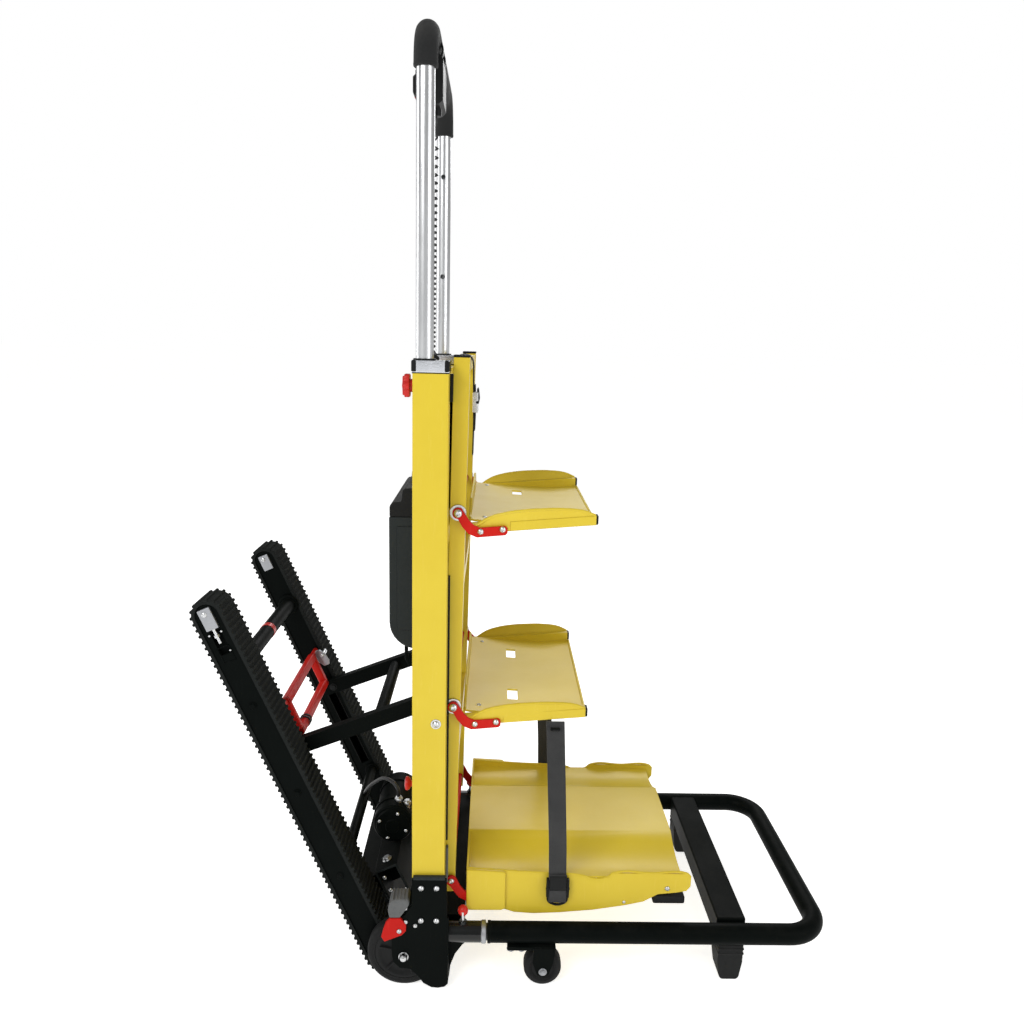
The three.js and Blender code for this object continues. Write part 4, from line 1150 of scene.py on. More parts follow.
def beltPlace(distance):
    # where the belt's pitch line is after a distance, and how far it has turned
    half, length = trackDetail["half"], trackDetail["length"]
    bend = math.pi * half
    if distance < length:
        return half, distance, 0.0
    if distance < length + bend:
        angle = (distance - length) / half
        return half * math.cos(angle), length + half * math.sin(angle), angle
    if distance < 2 * length + bend:
        return -half, 2 * length + bend - distance, math.pi
    angle = math.pi + (distance - 2 * length - bend) / half
    return half * math.cos(angle), half * math.sin(angle), angle


def lugShape():
    # one cross bar of the belt, chamfered along its outer edges
    width, height = trackDetail["lugWidth"], trackDetail["lugHeight"]
    inner, outer = trackDetail["inner"], trackDetail["outer"]
    bm = bmesh.new()
    profile = [(-1.0, -width / 2), (height - 0.7, -width / 2 + 0.8), (height, -width / 2 + 1.5),
               (height, width / 2 - 1.5), (height - 0.7, width / 2 - 0.8), (-1.0, width / 2)]
    face = bm.faces.new([bm.verts.new(at(x, -outer + 0.3, z)) for x, z in profile])
    grown = bmesh.ops.extrude_face_region(bm, geom=[face])["geom"]
    bmesh.ops.translate(bm, vec=at(0, outer - inner - 0.6, 0),
                        verts=vertsOf(grown))
    bmesh.ops.recalc_face_normals(bm, faces=bm.faces)
    mesh = bpy.data.meshes.new("lug")
    bm.to_mesh(mesh)
    bm.free()
    return mesh


def beltParts():
    half, length, thick = trackDetail["half"], trackDetail["length"], trackDetail["thick"]
    inner, outer = trackDetail["inner"], trackDetail["outer"]
    band = bmesh.new()
    corners = [(half - thick, -outer), (half - 0.6, -outer), (half, -outer + 0.8), (half, -inner - 0.8),
               (half - 0.6, -inner), (half - thick, -inner)]
    verts = [band.verts.new(at(x, y, 0)) for x, y in corners]
    edges = [band.edges.new(pair) for pair in zip(verts, verts[1:] + verts[:1])]
    turn = ("turn", (0, 0, length * mm), (0, -1, 0), math.pi, 24)
    back = ("turn", (0, 0, 0), (0, -1, 0), math.pi, 24)
    sweep(band, edges, [("go", at(0, 0, length)), turn, ("go", at(0, 0, -length)), back], weld=True)
    lug = lugShape()
    total = 2 * length + 2 * math.pi * half
    count = round(total / trackDetail["lugPitch"])
    lugs = bmesh.new()
    for i in range(count):
        x, z, angle = beltPlace(total * i / count)
        before = len(lugs.verts)
        lugs.from_mesh(lug)
        lugs.verts.ensure_lookup_table()
        place = Matrix.Translation(at(x, 0, z)) @ Matrix.Rotation(-angle, 4, "Y")
        bmesh.ops.transform(lugs, matrix=place, verts=lugs.verts[before:])
    bpy.data.meshes.remove(lug)
    return tilted([band, lugs])


def trackTrimParts():
    # rims round the tensioner window, its lintel and the cheek's bolts on their washers
    outer = -trackDetail["outer"] + 1.8
    length = trackDetail["length"]
    parts = []
    window = [(-9, length - 50), (9, length - 50), (9, length - 74), (-9, length - 74)]
    for (x1, z1), (x2, z2) in zip(window, window[1:] + window[:1]):
        parts.append(block((min(x1, x2) - 0.6, outer - 0.9, min(z1, z2) - 0.6),
                           (max(x1, x2) + 0.6, outer + 1.2, max(z1, z2) + 0.6), 0.3, 1))
    parts.append(block((-11, outer + 1.0, length - 29), (11, outer + 4.8, length - 26.4), 0.5, 2))
    for z in trackDetail["cheekBoltZ"]:
        parts.append(rod((0, outer - 1.4, z), (0, outer + 1, z), 5.6, 28, 0.8))
        parts += hexHead((0, outer - 1.2, z), (0, -1, 0), 7, 2.2)
    return tilted(parts)


def tensionerParts():
    # the sliding block that holds the idler's axle, outside and inside the track
    length = trackDetail["length"]
    face = low("track_tensioner_r").y
    outerBlock = block((-9.5, face, length - 21), (9.5, face + 15, length + 12), 1.4, 3)
    innerFace = -trackDetail["inner"]
    innerBlock = block((-9.0, innerFace - 8, length - 18), (9.0, innerFace + 0.9, length + 10), 1.4, 3)
    return tilted([outerBlock, innerBlock])


def tensionBoltParts():
    outer, length = low("track_tensioner_r").y, trackDetail["length"]
    inner = -trackDetail["inner"] + 0.9
    parts = domeHead((-1.5, outer, length + 4), (0, -1, 0), 4.0, 1.8)
    parts += domeHead((-1.5, inner, length + 3), (0, 1, 0), 3.8, 1.6)
    parts.append(rod((0, outer + 4, length - 44), (0, outer + 4, length - 20), 2.4, 20))
    parts += hexHead((0, outer + 4, length - 34), (0, 0, 1), 8, 4.5)
    for x in (-9.5, 9.5):
        parts += domeHead((x, outer + 2.4, length - 27.6), (0, -1, 0), 1.7, 1.2, socket=False)
    parts += domeHead((9, outer + 1.9, length - 58), (0, -1, 0), 1.5, 1.2, socket=False)
    return tilted(parts)


def slotRimParts():
    # slide strips along the inner slot that the link pins run in
    inner, start, end = -trackDetail["inner"] - 1.2, trackDetail["slotFrom"], trackDetail["slotTo"]
    return tilted([block((x, inner - 0.4, start), (x + 1.1, inner + 0.8, end), 0.2, 1) for x in (-5.2, 10.1)])


def makeTracks():
    pairPiece("trackBelt", beltParts, "tracks", "beltRubber", "belt_rubber", "track_belt_{}", smooth=30)
    pairPiece("trackFrame", lambda: [refined("track_frame_r", 0.7, 2)], "tracks", "black", "black_paint",
              "track_frame_{}")
    pairPiece("trackTrim", trackTrimParts, "tracks", "black", "black_paint")
    pairPiece("tensioner", tensionerParts, "tracks", "castAlloy", "handle_aluminium", "track_tensioner_{}")
    pairPiece("tensionBolts", tensionBoltParts, "tracks", "zinc", "zinc_steel")
    pairPiece("slotRims", slotRimParts, "tracks", "glossBlack", "black_paint")
    for side in sides:
        idler = f"track_idler_{side}"
        finishPiece(f"trackIdler_{side}", [refined(idler, 0.8, 2)], f"idler_{side}", "zinc", "zinc_steel",
                    [idler])
    finishPiece("driveShaft", [refined("drive_shaft", 0.4, 2)], "shaft", "zinc", "zinc_steel",
                ["drive_shaft"])


# place along and above the shaft, radius, weld collar's length, outer and inner radius and rim, steps
crossTubes = {"reach": 130.6, "Upper": (4, 509, 12, 6, 18, 11.5, 2.0, 40),
              "Lower": (8, 158, 8.5, 5, 13, 8.2, 1.6, 36), "markFrom": -22, "markTo": -9}


def makeCrossTubes():
    reach = crossTubes["reach"]
    for label in ("Upper", "Lower"):
        x, z, radius, collar, outer, inner, rim, steps = crossTubes[label]
        parts = [rod((x, -reach, z), (x, reach, z), radius, steps, 0.6)]
        parts += [ringTube((x, side * (reach - collar), z), (x, side * reach, z), outer, inner, steps, rim)
                  for side in (-1, 1)]
        finishPiece(f"crossTube{label}", tilted(parts), "tracks", "black", "black_paint",
                    [f"cross_tube_{label.lower()}"])
    x, z, radius = crossTubes["Upper"][:3]
    mark = [ringTube((x, crossTubes["markFrom"], z), (x, crossTubes["markTo"], z), radius + 0.5, radius - 0.2,
                     40, 0.2)]
    finishPiece("tubeMark", tilted(mark), "tracks", "redPlastic", "red_plastic")


driveDetail = {"motorAt": (62, 131), "motorFrom": -50, "motorTo": 66, "screwCircle": 23,
               "glands": ((80, 158), (90, 146)), "strapY": (-26, 36), "lead": 3.0}


def makeDrive():
    housing = refined("drive_housing", 1.4, 3)
    finishPiece("driveHousing", [housing], "tracks", "black", "black_paint", ["drive_housing"])
    x, z = driveDetail["motorAt"]
    front, back = driveDetail["motorFrom"], driveDetail["motorTo"]
    profile = [(0, front - 8), (20, front - 8), (27, front - 6), (28.5, front - 2), (31.0, front - 1.2),
               (33.0, front + 1.5), (33.0, front + 20), (32.2, front + 21), (32.2, back - 21),
               (33.0, back - 20), (33.0, back - 1.5), (31.0, back + 1.2), (28.5, back + 2), (27, back + 4),
               (20, back + 6), (0, back + 6)]
    body = lathe([(r, -h) for r, h in profile], (x, 0, z), (0, -1, 0), 64)
    cradle = block((40, -30, 97.3), (84, 50, 110), 1.6, 3)
    cradleStraps = [ringTube((x, y, z), (x, y + 9, z), 34.2, 32.6, 64, 0.5)
                    for y in driveDetail["strapY"]]
    boss = rod((x, -60, z), (x, -56, z), 12, 36, 1.0)
    finishPiece("driveMotor", tilted([body, cradle, boss] + cradleStraps), "tracks", "black", "black_paint",
                ["drive_motor"])
    screws = []
    for i in range(4):
        angle = math.pi / 4 + i * math.pi / 2
        circle = driveDetail["screwCircle"]
        place = (x + circle * math.cos(angle), front - 6.5, z + circle * math.sin(angle))
        screws += domeHead(place, (0, -1, 0), 3.0, 2.2)
    for glandX, glandZ in driveDetail["glands"]:
        screws.append(rod((glandX, -34, glandZ - 6), (glandX + 6, -34, glandZ + 8), 5.0, 28, 0.8))
        screws += hexHead((glandX + 3, -34, glandZ + 1), (0.4, 0, 0.92), 12, 5)
    for screwZ in (58, 82):
        screws += domeHead((33, -114.2, screwZ), (0, -1, 0), 3.4, 2.6)
    for y in (-90, 90):
        screws += hexHead((41.5, y, 97), (0, 0, 1), 11, 5, 8)
    finishPiece("driveScrews", tilted(screws), "tracks", "zinc", "zinc_steel")
    # lighter grey strip along the housing's bent edges: a painted highlight where the bends catch the light
    edge = plate([(22.2, 42), (22.2, 96.8), (60.8, 96.8), (60.8, 42), (57.6, 42), (57.6, 93.4), (25.4, 93.4),
                  (25.4, 42)], -114.8, -113.4, bevel=0.3)
    finishPiece("driveEdgeHighlight", tilted([edge]), "tracks", "greyPlastic", "grey_plastic")
    lead = wire([(86, -34, 166), (90, -34, 180), (76, -20, 196), (50, 0, 190), (20, 20, 172), (9, 34, 158)],
                driveDetail["lead"])
    finishPiece("motorLead", tilted([lead]), "tracks", "cableJacket", "black_plastic")


releaseDetail = {"rear": 4.6, "front": 17.4, "half": 102, "low": 352, "high": 417, "bar": 13, "rod": 5,
                 "rodHalf": 130.4, "tieY": (-66, -58)}


def makeRelease():
    # bent flat handle on its pivot rod, with the tie and the latch plate
    rear, front, half, bar = (releaseDetail[key] for key in ("rear", "front", "half", "bar"))
    foot, top, rodHalf = releaseDetail["low"], releaseDetail["high"], releaseDetail["rodHalf"]
    spans = [(-half, half, foot, foot + bar), (-half, half, top - bar, top),
             (-half, bar - half, foot, top), (half - bar, half, foot, top)]
    bands = [block((rear, y1, z1), (front, y2, z2), 3.0, 4) for y1, y2, z1, z2 in spans]
    bands.append(rod((11, -rodHalf, top - 6), (11, rodHalf, top - 6), releaseDetail["rod"], 32, 0.5))
    finishPiece("releaseHandle", tilted(bands), "release", "red", "red_paint", ["release_handle"])
    tie = [ringTube((11, y, 358.5), (11, y + 4, 358.5), 9.6, 8.4, 28, 0.4)
           for y in releaseDetail["tieY"]]
    finishPiece("releaseTie", tilted(tie), "release", "blackPlastic", "black_plastic")
    latch = [plate([(15, 394), (21, 384), (30, 384), (33, 391), (31, 406), (25, 415), (18, 416), (15, 411)],
                   106.5, 110.5, bevel=0.9, segments=3)]
    finishPiece("latchPlate", tilted(latch), "tracks", "castAlloy", "zinc_steel")
    stub = [rod((26, 108, 404), (26, 130.5, 404), 4, 24)] + domeHead((26, 106.5, 404), (0, -1, 0), 3.6, 2.4)
    finishPiece("latchBolt", tilted(stub), "tracks", "zinc", "zinc_steel")


linkDetail = {"tip": (-350.8, 0, 344.6), "tubeAt": 97, "tubeHalf": 107, "tube": 9.6,
              "boltShares": (0.42, 0.93)}


def makeLink():
    # the support link between posts and tracks, with its cross tube and slide bolts
    link = refined("link_frame", 1.2, 3)
    start = pivot("link_swing") / mm
    along = Vector(linkDetail["tip"]) - start
    middle, reach = start + along.normalized() * linkDetail["tubeAt"], linkDetail["tubeHalf"]
    tube = [rod((middle.x, -reach, middle.z), (middle.x, reach, middle.z), linkDetail["tube"], 36, 0.5)]
    collars = [ringTube((start.x, side * 122.4, start.z), (start.x, side * 128, start.z), 13, 8.1, 36, 1.0)
               for side in (-1, 1)]
    finishPiece("linkFrame", [link] + tube + collars, "link", "black", "black_paint", ["link_frame"])
    bolts = []
    for side in (-1, 1):
        for share in linkDetail["boltShares"]:
            place = start + along * share
            bolts += hexHead((place.x, side * 105.9, place.z), (0, -side, 0), 9, 4, 7)
    finishPiece("linkBolts", bolts, "link", "glossBlack", "black_paint")


makeTracks()
makeCrossTubes()
makeDrive()
makeRelease()
makeLink()
print("trolley: tracks, drive and link ready")


# Main wheels and pedals.
wheelDetail = {"hubRibs": 6, "ribTurn": 0.2, "axleWasher": 7.6, "axleNut": 11}
pedalDetail = {"ribs": 5, "ribPitch": 5.2, "ribFrom": -193, "bolt": 3.8}


def wheelMiddle(name):
    # the centre of a wheel's part and half its width
    centre = pivot("wheel_r_spin") / mm
    inner, outer = low(name).y, high(name).y
    return (centre.x, (inner + outer) / 2, centre.z), (outer - inner) / 2


def tyreParts():
    centre, half = wheelMiddle("wheel_tyre_r")
    profile = [(44.3, half - 1), (45.6, half - 0.4), (47.0, half - 1.0), (48.4, half - 0.2), (50.0, half),
               (52.6, half - 0.8), (54.6, half - 2.2), (55.6, half - 4.0), (56.0, half - 6.0)]
    tread = [(56.0, 2.4), (55.2, 1.9), (55.2, -1.9), (56.0, -2.4)]
    mirror = [(radius, -height) for radius, height in reversed(profile)]
    return [lathe(profile + tread + mirror, centre, (0, -1, 0), 96, closed=True)]


def hubParts():
    centre, half = wheelMiddle("wheel_hub_r")
    face = [(6.4, half), (15.0, half), (16.0, half - 0.8), (17.4, half - 3.0), (21.0, half - 4.4),
            (33.0, half - 4.6), (36.5, half - 3.4), (38.4, half - 1.6), (40.2, half - 1.0),
            (42.6, half - 0.8), (44.0, half - 1.4)]
    mirror = [(radius, -height) for radius, height in reversed(face)]
    parts = [lathe(face + mirror, centre, (0, -1, 0), 72, closed=True)]
    count = wheelDetail["hubRibs"]
    for i in range(count):
        rib = block((18, -half + 1.4, -1.3), (39, half - 1.4, 1.3), 0.6, 2)
        angle = i * 2 * math.pi / count + wheelDetail["ribTurn"]
        parts.append(moved(rib, Matrix.Translation(at(*centre)) @ Matrix.Rotation(angle, 4, "Y")))
    return parts


def axleNutParts():
    centre = pivot("wheel_r_spin") / mm
    outer = low("side_plate_r").y
    parts = [ringTube((centre.x, outer, centre.z), (centre.x, outer - 1.6, centre.z),
                      wheelDetail["axleWasher"], 5, 36, 0.3)]
    parts += hexHead((centre.x, outer - 1.6, centre.z), (0, -1, 0), wheelDetail["axleNut"], 3.4)
    parts.append(lathe([(5.2, 0), (5.2, 1.0), (4.6, 2.8), (2.6, 4.2), (0, 4.6)],
                       (centre.x, outer - 3.4, centre.z), (0, -1, 0), 28))
    return parts


def padParts():
    parts = [refined("brake_pad_r", 2.2, 4)]
    lowest, highest = low("brake_pad_r"), high("brake_pad_r")
    for i in range(pedalDetail["ribs"]):
        x = pedalDetail["ribFrom"] + i * pedalDetail["ribPitch"]
        parts.append(block((x, lowest.y + 1.5, highest.z - 2.4), (x + 2.4, highest.y - 1.5, highest.z + 0.5),
                           0.6, 2))
    return parts


def leverBoltParts():
    place = pivot("brake_r_press") / mm
    return domeHead((place.x, low("brake_lever_r").y, place.z), (0, -1, 0), pedalDetail["bolt"], 2.8)


pairPiece("wheelTyre", tyreParts, "wheel_{}", "tyreRubber", "tyre_rubber", "wheel_tyre_{}")
pairPiece("wheelHub", hubParts, "wheel_{}", "blackPlastic", "black_plastic", "wheel_hub_{}")
pairPiece("axleNut", axleNutParts, "frame", "zinc", "zinc_steel")
pairPiece("brakePad", padParts, "brake_{}", "pedalRubber", "pedal_rubber", "brake_pad_{}")
pairPiece("brakeLever", lambda: [refined("brake_lever_r", 1.2, 3)], "brake_{}", "red", "red_paint",
          "brake_lever_{}")
pairPiece("leverBolt", leverBoltParts, "brake_{}", "zinc", "zinc_steel")
print("trolley: wheels and pedals ready")


# Toe frame with its casters and feet.
toeDetail = {"radius": 15.6, "rim": 16.4, "corner": 52, "barFrom": (305, -182, 62), "barTo": (350, 182, 100)}
casterDetail = {"tyreHalf": 13, "forkHalf": 19, "boltAcross": 9, "boltWasher": 6.2, "plateBoltX": (-14, 2)}


def makeToeFrame():
    lowest, highest = low("toe_frame"), high("toe_frame")
    place = pinPlace()
    y, z, radius, corner = -place.y, place.z, toeDetail["radius"], toeDetail["corner"]
    front = highest.x - radius
    moves = [
        ("go", (front - corner - lowest.x, 0, 0)),
        ("turn", (front - corner, -y + corner, z), (0, 0, 1), math.pi / 2, 14),
        ("go", (0, 2 * (y - corner), 0)),
        ("turn", (front - corner, y - corner, z), (0, 0, 1), math.pi / 2, 14),
        ("go", (lowest.x - front + corner, 0, 0))]
    tube = roundRun((lowest.x, -y, z), (1, 0, 0), radius, moves, 48)
    rims = [ringTube((lowest.x - 0.3, side * y, z), (lowest.x + 5, side * y, z), toeDetail["rim"], 12.9, 48,
                     0.9) for side in (-1, 1)]
    bars = [block(toeDetail["barFrom"], toeDetail["barTo"], 3.0, 4)]
    seats = []
    for side in (-1, 1):
        edge = side * y
        seats.append(block((-20, edge - 17, 63), (54, edge + 17, 69), 1.2, 2))
        for offset in (-19, 16):
            seats.append(plate([(20, 68), (19, 44), (26, 23), (35, 19), (44, 23), (51, 44), (54, 68)],
                               edge + offset, edge + offset + 3, bevel=0.7))
    finishPiece("toeFrame", [tube] + rims + bars + seats, "toe", "black", "black_paint", ["toe_frame"])


def casterParts():
    centre = pivot("caster_r_spin") / mm
    half = casterDetail["tyreHalf"]
    profile = [(20, half), (21.5, half + 0.4), (24, half - 0.2), (27.2, half - 1.6), (28.6, half - 4.6),
               (29.0, 0)]
    mirror = [(radius, -height) for radius, height in reversed(profile[:-1])]
    return [lathe(profile + mirror, (centre.x, centre.y, centre.z), (0, -1, 0), 64, closed=True)]


def casterHubParts():
    centre = pivot("caster_r_spin") / mm
    face = [(4.4, 14.2), (8.0, 14.2), (9.0, 13.4), (10.4, 11.0), (17.0, 10.6), (18.6, 12.4), (20.1, 12.8)]
    mirror = [(radius, -height) for radius, height in reversed(face)]
    return [lathe(face + mirror, (centre.x, centre.y, centre.z), (0, -1, 0), 56, closed=True)]


def casterBoltParts():
    centre = pivot("caster_r_spin") / mm
    outer, inner = centre.y - casterDetail["forkHalf"], centre.y + casterDetail["forkHalf"]
    across, washer = casterDetail["boltAcross"], casterDetail["boltWasher"]
    parts = hexHead((centre.x, outer, centre.z), (0, -1, 0), across, 3.2, washer)
    parts += hexHead((centre.x, inner, centre.z), (0, 1, 0), across, 3.2, washer)
    parts.append(rod((centre.x, outer - 4.8, centre.z), (centre.x, inner + 4.8, centre.z), 3.0, 24))
    for x in casterDetail["plateBoltX"]:
        for y in (centre.y - 10, centre.y + 10):
            parts += hexHead((x, y, 63), (0, 0, -1), 9, 4, 6.6)
    return parts


def footParts():
    foot = refined("toe_foot_r", 2.4, 4)
    lowest, highest = low("toe_foot_r"), high("toe_foot_r")
    cuffs = [block((lowest.x - 0.8, lowest.y - 0.8, z), (highest.x + 0.8, highest.y + 0.8, z + 3.2), 1.2, 3)
             for z in (44, 52)]
    return [foot] + cuffs


makeToeFrame()
pairPiece("casterTyre", casterParts, "caster_{}", "tyreRubber", "tyre_rubber", "caster_wheel_{}")
pairPiece("casterHub", casterHubParts, "caster_{}", "blackPlastic", "black_plastic")
pairPiece("casterBolts", casterBoltParts, "toe", "castAlloy", "zinc_steel")
pairPiece("toeFoot", footParts, "toe", "tyreRubber", "tyre_rubber", "toe_foot_{}")
print("trolley: toe frame ready")


# Trays and their arms.
trayDetail = {
    "hem": 2.1, "lean": 0.34,                       # rolled edge, and how far the side guards lean out
    "washer": 11.6, "pivotHead": 6.2, "armBoltX": (-71, -40), "armBolt": 4.6,
    "railBack": (-86, 715), "railFront": (92, 731), "cover": 1.2, "coverFrom": -29}
bottomDetail = {"hem": 1.9, "hemY": 173.8, "stepInner": 175.3, "stepOuter": 181.4, "pivotHead": 4.6,
                "frontBolt": (226, 146), "smallBoltX": (-40, 60, 160), "smallBoltZ": 122}


def railTop(x):
    (backX, backZ), (frontX, frontZ) = trayDetail["railBack"], trayDetail["railFront"]
    return backZ + (x - backX) * (frontZ - backZ) / (frontX - backX)


def leaned(x, z, side):
    # a place on a side guard after it leans out above the rail
    return side * (173.8 + max(0.0, z - railTop(x)) * trayDetail["lean"])


def makeTray(name, joint, shift):
    # shift is how far the tray sits from the upper one, in millimetres
    label = name.split("_")[0]
    body = f"tray_{label}"
    dx, dz = shift
    shell = refined(name, 0.9, 3)
    for vert in shell.verts:
        x, y, z = vert.co.x / mm - dx, vert.co.y / mm, vert.co.z / mm - dz
        if abs(y) > 171.5 and z > railTop(x) + 0.5:
            vert.co.y += math.copysign((z - railTop(x)) * trayDetail["lean"], y) * mm
    crest = [(-79, 711.6), (-57, 725.8), (-38, 732), (-17, 736), (16, 739), (49, 739.6), (74, 737),
             (91, 730.5)]
    hems = [wire([(x + dx, leaned(x, z, side), z + dz) for x, z in crest], trayDetail["hem"], steps=3)
            for side in (-1, 1)]
    lip = [wire([(93.5 + dx, y, 716.5 + dz) for y in (-160, 0, 160)], 2.0),
           wire([(-86.5 + dx, y, z + dz) for y, z in ((-159, 721.5), (-139, 724), (-121, 741.6), (0, 741.8),
                (121, 741.6), (139, 724), (159, 721.5))], 1.9, smooth=False)]
    covers = []
    for side in (-1, 1):
        start, end = sorted((side * 175.4, side * (175.4 + trayDetail["cover"])))
        rear, front = trayDetail["coverFrom"], trayDetail["railFront"][0]
        outline = [(rear + dx, railTop(rear) - 13.4 + dz), (front + dx, railTop(front) - 13.4 + dz),
                   (front + dx, railTop(front) - 0.4 + dz), (rear + dx, railTop(rear) - 0.4 + dz)]
        covers.append(plate(outline, start, end, bevel=0.5))
    finishPiece(f"{label}Tray", [shell] + hems + lip + covers, body, "yellow", "yellow_paint", [name])
    endOutline = [(x + dx, z + dz) for x, z in ((91.8, 717.4), (95.2, 717.8), (95.2, 730.6), (91.8, 730.8))]
    ends = [plate(endOutline, side * 168.2 - 7.4, side * 168.2 + 7.4, bevel=1.0, segments=3)
            for side in (-1, 1)]
    finishPiece(f"{label}TrayEnds", ends, body, "blackPlastic", "black_plastic")
    finishPiece(f"{label}TrayArms", [refined(f"{name}_arms", 1.2, 3)], body, "red", "red_paint",
                [f"{name}_arms"])
    place = pivot(joint) / mm
    bolts = []
    for side in (-1, 1):
        face = side * 179.8
        bolts.append(ringTube((place.x, side * 174.0, place.z), (place.x, side * 175.6, place.z),
                              trayDetail["washer"], 5, 40, 0.4))
        bolts += domeHead((place.x, face, place.z), (0, side, 0), trayDetail["pivotHead"], 4.2)
        for x in trayDetail["armBoltX"]:
            rise = 705.6 + (x + 71) * 0.115
            bolts += domeHead((x + dx, face, rise + dz), (0, side, 0), trayDetail["armBolt"], 3.2)
        bolts += domeHead((-66 + dx, side * 140, 718.2 + dz), (0, 0, 1), 3.6, 2.0)
    finishPiece(f"{label}TrayBolts", bolts, body, "zinc", "zinc_steel")


def makeBottomTray():
    shell = refined("bottom_tray", 0.9, 3)
    crest = [(-82, 176.5), (0, 171.4), (96, 165.6), (110, 160.4), (133, 163.4), (143, 170.8), (200, 171.2),
             (255, 171.0), (261.4, 165)]
    hems = [wire([(x, side * bottomDetail["hemY"], z) for x, z in crest], bottomDetail["hem"], steps=3)
            for side in (-1, 1)]
    finishPiece("bottomTray", [shell] + hems, "tray_bottom", "yellow", "yellow_paint", ["bottom_tray"])
    finishPiece("bottomTrayArms", [refined("bottom_tray_arms", 1.2, 3)], "tray_bottom", "red", "red_paint",
                ["bottom_tray_arms"])
    # the wall steps out over the arms at the rear
    outline = [(-83.6, 116), (-80, 109), (-30, 109.5), (-24, 112), (-24, 172.5), (-28, 175), (-83.6, 177.6)]
    inner, outer = bottomDetail["stepInner"], bottomDetail["stepOuter"]
    steps = [plate(outline, start, end, bevel=1.6, segments=3)
             for start, end in ((-outer, -inner), (inner, outer))]
    finishPiece("trayWallSteps", steps, "tray_bottom", "yellow", "yellow_paint")
    bolts = []
    place = pivot("bottom_tray_fold") / mm
    for side in (-1, 1):
        wall = side * high("bottom_tray").y
        frontX, frontZ = bottomDetail["frontBolt"]
        bolts += domeHead((place.x, side * 179.8, place.z), (0, side, 0), bottomDetail["pivotHead"], 3.4)
        bolts += domeHead((frontX, wall, frontZ), (0, side, 0), 4.0, 2.6)
        for x in bottomDetail["smallBoltX"]:
            bolts += domeHead((x, wall, bottomDetail["smallBoltZ"]), (0, side, 0), 2.6, 1.6, socket=False)
    finishPiece("bottomTrayBolts", bolts, "tray_bottom", "zinc", "zinc_steel")
    pads = [block((205, side * 150 - 24, 118), (255, side * 150 + 22, 131), 3.0, 3) for side in (-1, 1)]
    finishPiece("trayPads", pads, "tray_bottom", "tyreRubber", "tyre_rubber")


def makeTrays():
    upper, middle = pivot("upper_tray_fold") / mm, pivot("middle_tray_fold") / mm
    makeTray("upper_tray", "upper_tray_fold", (0, 0))
    makeTray("middle_tray", "middle_tray_fold", (middle.x - upper.x, middle.z - upper.z))
    makeBottomTray()


makeTrays()
print("trolley: trays ready")


# Straps.
# slant is how far the lower straps lean forward; hookReach is half the length of their upper eye
strapDetail = {"thick": 1.8, "width": 27, "slant": 12, "hookReach": 7.0}


def webbing(route, width, thick, across=(0, 1, 0), steps=6):
    # a flat strap along a side route, smoothed, with U across and V along it in millimetres
    curve = [Vector(point) for point in route]
    knots = []
    for a, b in zip(curve, curve[1:]):
        count = max(1, int((b - a).length / steps))
        knots += [a.lerp(b, i / count) for i in range(count)]
    knots.append(curve[-1])
    for _ in range(3):
        eased = [(a + b * 2 + c) / 4 for a, b, c in zip(knots, knots[1:], knots[2:])]
        knots = [knots[0], *eased, knots[-1]]
    bm = bmesh.new()
    side = Vector(across)
    first = [bm.verts.new((knots[0] + side * (i / 4 - 0.5) * width) * mm) for i in range(5)]
    edges = [bm.edges.new(pair) for pair in zip(first, first[1:])]
    uv = bm.loops.layers.uv.new("webbing")
    travelled = {v: (i / 4 * width, 0.0) for i, v in enumerate(first)}
    distance = 0.0
    for a, b in zip(knots, knots[1:]):
        grown = bmesh.ops.extrude_edge_only(bm, edges=edges)["geom"]
        fresh = vertsOf(grown)
        bmesh.ops.translate(bm, vec=(b - a) * mm, verts=fresh)
        distance += (b - a).length
        for v in fresh:
            offset = (v.co / mm - b).dot(side) + width / 2
            travelled[v] = (offset, distance)
        edges = [e for e in edgesOf(grown) if e.verts[0] in fresh and e.verts[1] in fresh]
    for face in bm.faces:
        for loop in face.loops:
            loop[uv].uv = travelled[loop.vert]
    bmesh.ops.recalc_face_normals(bm, faces=bm.faces)
    bmesh.ops.solidify(bm, geom=list(bm.faces), thickness=-thick * mm)
    bmesh.ops.recalc_face_normals(bm, faces=bm.faces)
    return bm


def camBuckle(centre, along, out, width):
    # cast frame with a toothed cam lever and its pin; along and out are directions on the strap
    along, out = Vector(along).normalized(), Vector(out).normalized()
    across = along.cross(out)
    half = width / 2
    frameRails = [block((-half - 4, -15, -2.5), (-half, 15, 5.5), 1.0, 3),
                  block((half, -15, -2.5), (half + 4, 15, 5.5), 1.0, 3)]
    frameRails += [rod((-half - 3, y, 1.2), (half + 3, y, 1.2), 2.4, 20) for y in (-12.5, 12.5)]
    lever = [plate([(-6, 1.6), (-2, 6.4), (5, 7.6), (19, 6.0), (21, 4.4), (19, 3.4), (6, 3.2), (0, 1.2)],
                   -half + 0.8, half - 0.8, across="x", bevel=0.7, segments=3)]
    lever.append(rod((-half - 4.6, 0, 4.2), (half + 4.6, 0, 4.2), 2.0, 20))
    turn = Matrix((across, along, out)).transposed().to_4x4()
    place = Matrix.Translation(at(*centre)) @ turn
    return [moved(bm, place) for bm in frameRails], [moved(bm, place) for bm in lever]


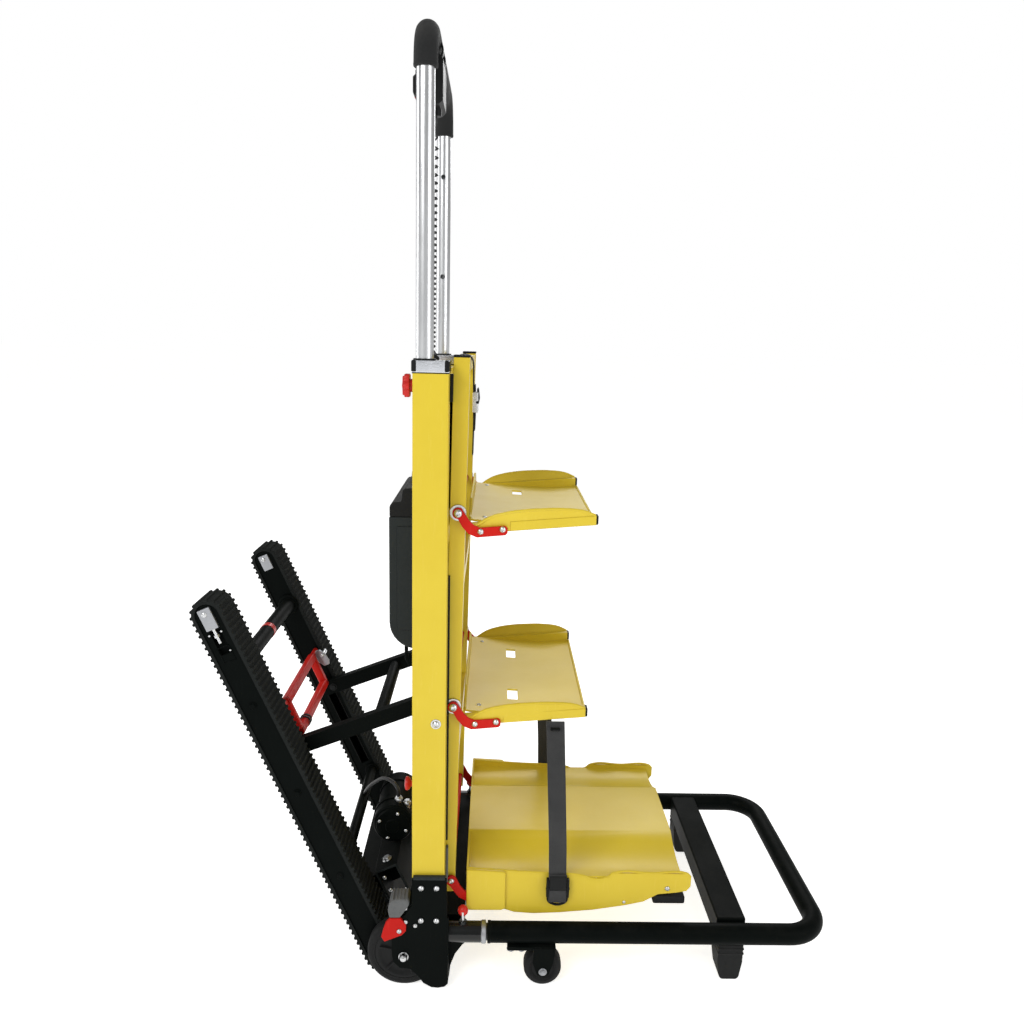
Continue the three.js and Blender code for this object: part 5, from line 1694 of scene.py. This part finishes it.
def makeUpperStrap():
    lowest, highest = low("strap_upper"), high("strap_upper")
    middle = (lowest.y + highest.y) / 2
    front, rear = highest.x - 1.2, lowest.x + 1.2
    route = [(rear, middle, lowest.z + 128), (rear, middle, highest.z - 1.4),
             (rear + 6, middle, highest.z - 0.4), (front - 6, middle, highest.z - 0.4),
             (front, middle, highest.z - 2), (front + 0.8, middle, 900),
             (front + 1.6, middle, 850), (front + 0.6, middle, lowest.z + 2)]
    strap = webbing(route, strapDetail["width"], strapDetail["thick"])
    tail = webbing([(front + 4.6, middle, 905), (front + 5.6, middle, 870), (front + 4.6, middle, 838)],
                   strapDetail["width"], strapDetail["thick"])
    finishPiece("strapUpper", [strap, tail], "frame", "webbing", "strap_webbing", ["strap_upper"], smooth=60)
    rails, lever = camBuckle((front + 3.4, middle, 880), (0, 0, 1), (1, 0, 0), strapDetail["width"])
    finishPiece("strapUpperBuckle", rails, "frame", "zinc", "zinc_steel")
    finishPiece("strapUpperCam", lever, "frame", "blackPlastic", "black_plastic")


def lowerStrapSpan():
    lowest, highest = low("strap_lower_r"), high("strap_lower_r")
    return lowest, highest, (lowest.x + highest.x) / 2, strapDetail["slant"]


def lowerStrapParts():
    lowest, highest, middle, slant = lowerStrapSpan()
    y = lowest.y + 1.2
    route = [(middle - slant / 2, y + 0.6, highest.z - 1), (middle - slant / 3, y, 380),
             (middle, y - 1.4, 300), (middle + slant / 3, y - 0.4, 220),
             (middle + slant / 2, y, lowest.z + 22)]
    strap = webbing(route, strapDetail["width"], strapDetail["thick"], across=(1, 0, 0))
    shift = middle + slant / 2
    fold = webbing([(shift, y - 3.2, 172), (shift, y - 4.0, 158), (shift, y - 3.4, lowest.z + 8)],
                   strapDetail["width"], strapDetail["thick"], across=(1, 0, 0))
    return [strap, fold]


def lowerBuckleParts(which):
    # which: 0 for the frame, 1 for the cam lever
    lowest, _, middle, slant = lowerStrapSpan()
    centre = (middle + slant / 2, lowest.y - 0.4, lowest.z + 32)
    return camBuckle(centre, (0, 0, 1), (0, -1, 0), strapDetail["width"])[which]


def strapHookParts():
    lowest, highest, middle, slant = lowerStrapSpan()
    half, y, reach = strapDetail["width"] / 2, lowest.y - 0.2, strapDetail["hookReach"]
    corners = [(-half, 14), (half, 14), (half + 1, 10), (6, 3), (-6, 3), (-half - 1, 10)]
    loop = wire([(middle + slant / 2 + x, y, lowest.z + z) for x, z in corners], 1.9, closed=True)
    upper = middle - slant / 2
    top = ringTube((upper - reach, y - 2.2, highest.z - 12), (upper + reach, y - 2.2, highest.z - 12),
                   2.4, 1.4, 24)
    return [loop, top]


makeUpperStrap()
pairPiece("strapLower", lowerStrapParts, "strap_{}", "webbing", "strap_webbing", "strap_lower_{}", smooth=60)
pairPiece("strapBuckle", lambda: lowerBuckleParts(0), "strap_{}", "glossBlack", "black_paint")
pairPiece("strapCam", lambda: lowerBuckleParts(1), "strap_{}", "blackPlastic", "black_plastic")
pairPiece("strapHook", strapHookParts, "strap_{}", "glossBlack", "black_paint")
print("trolley: straps ready")
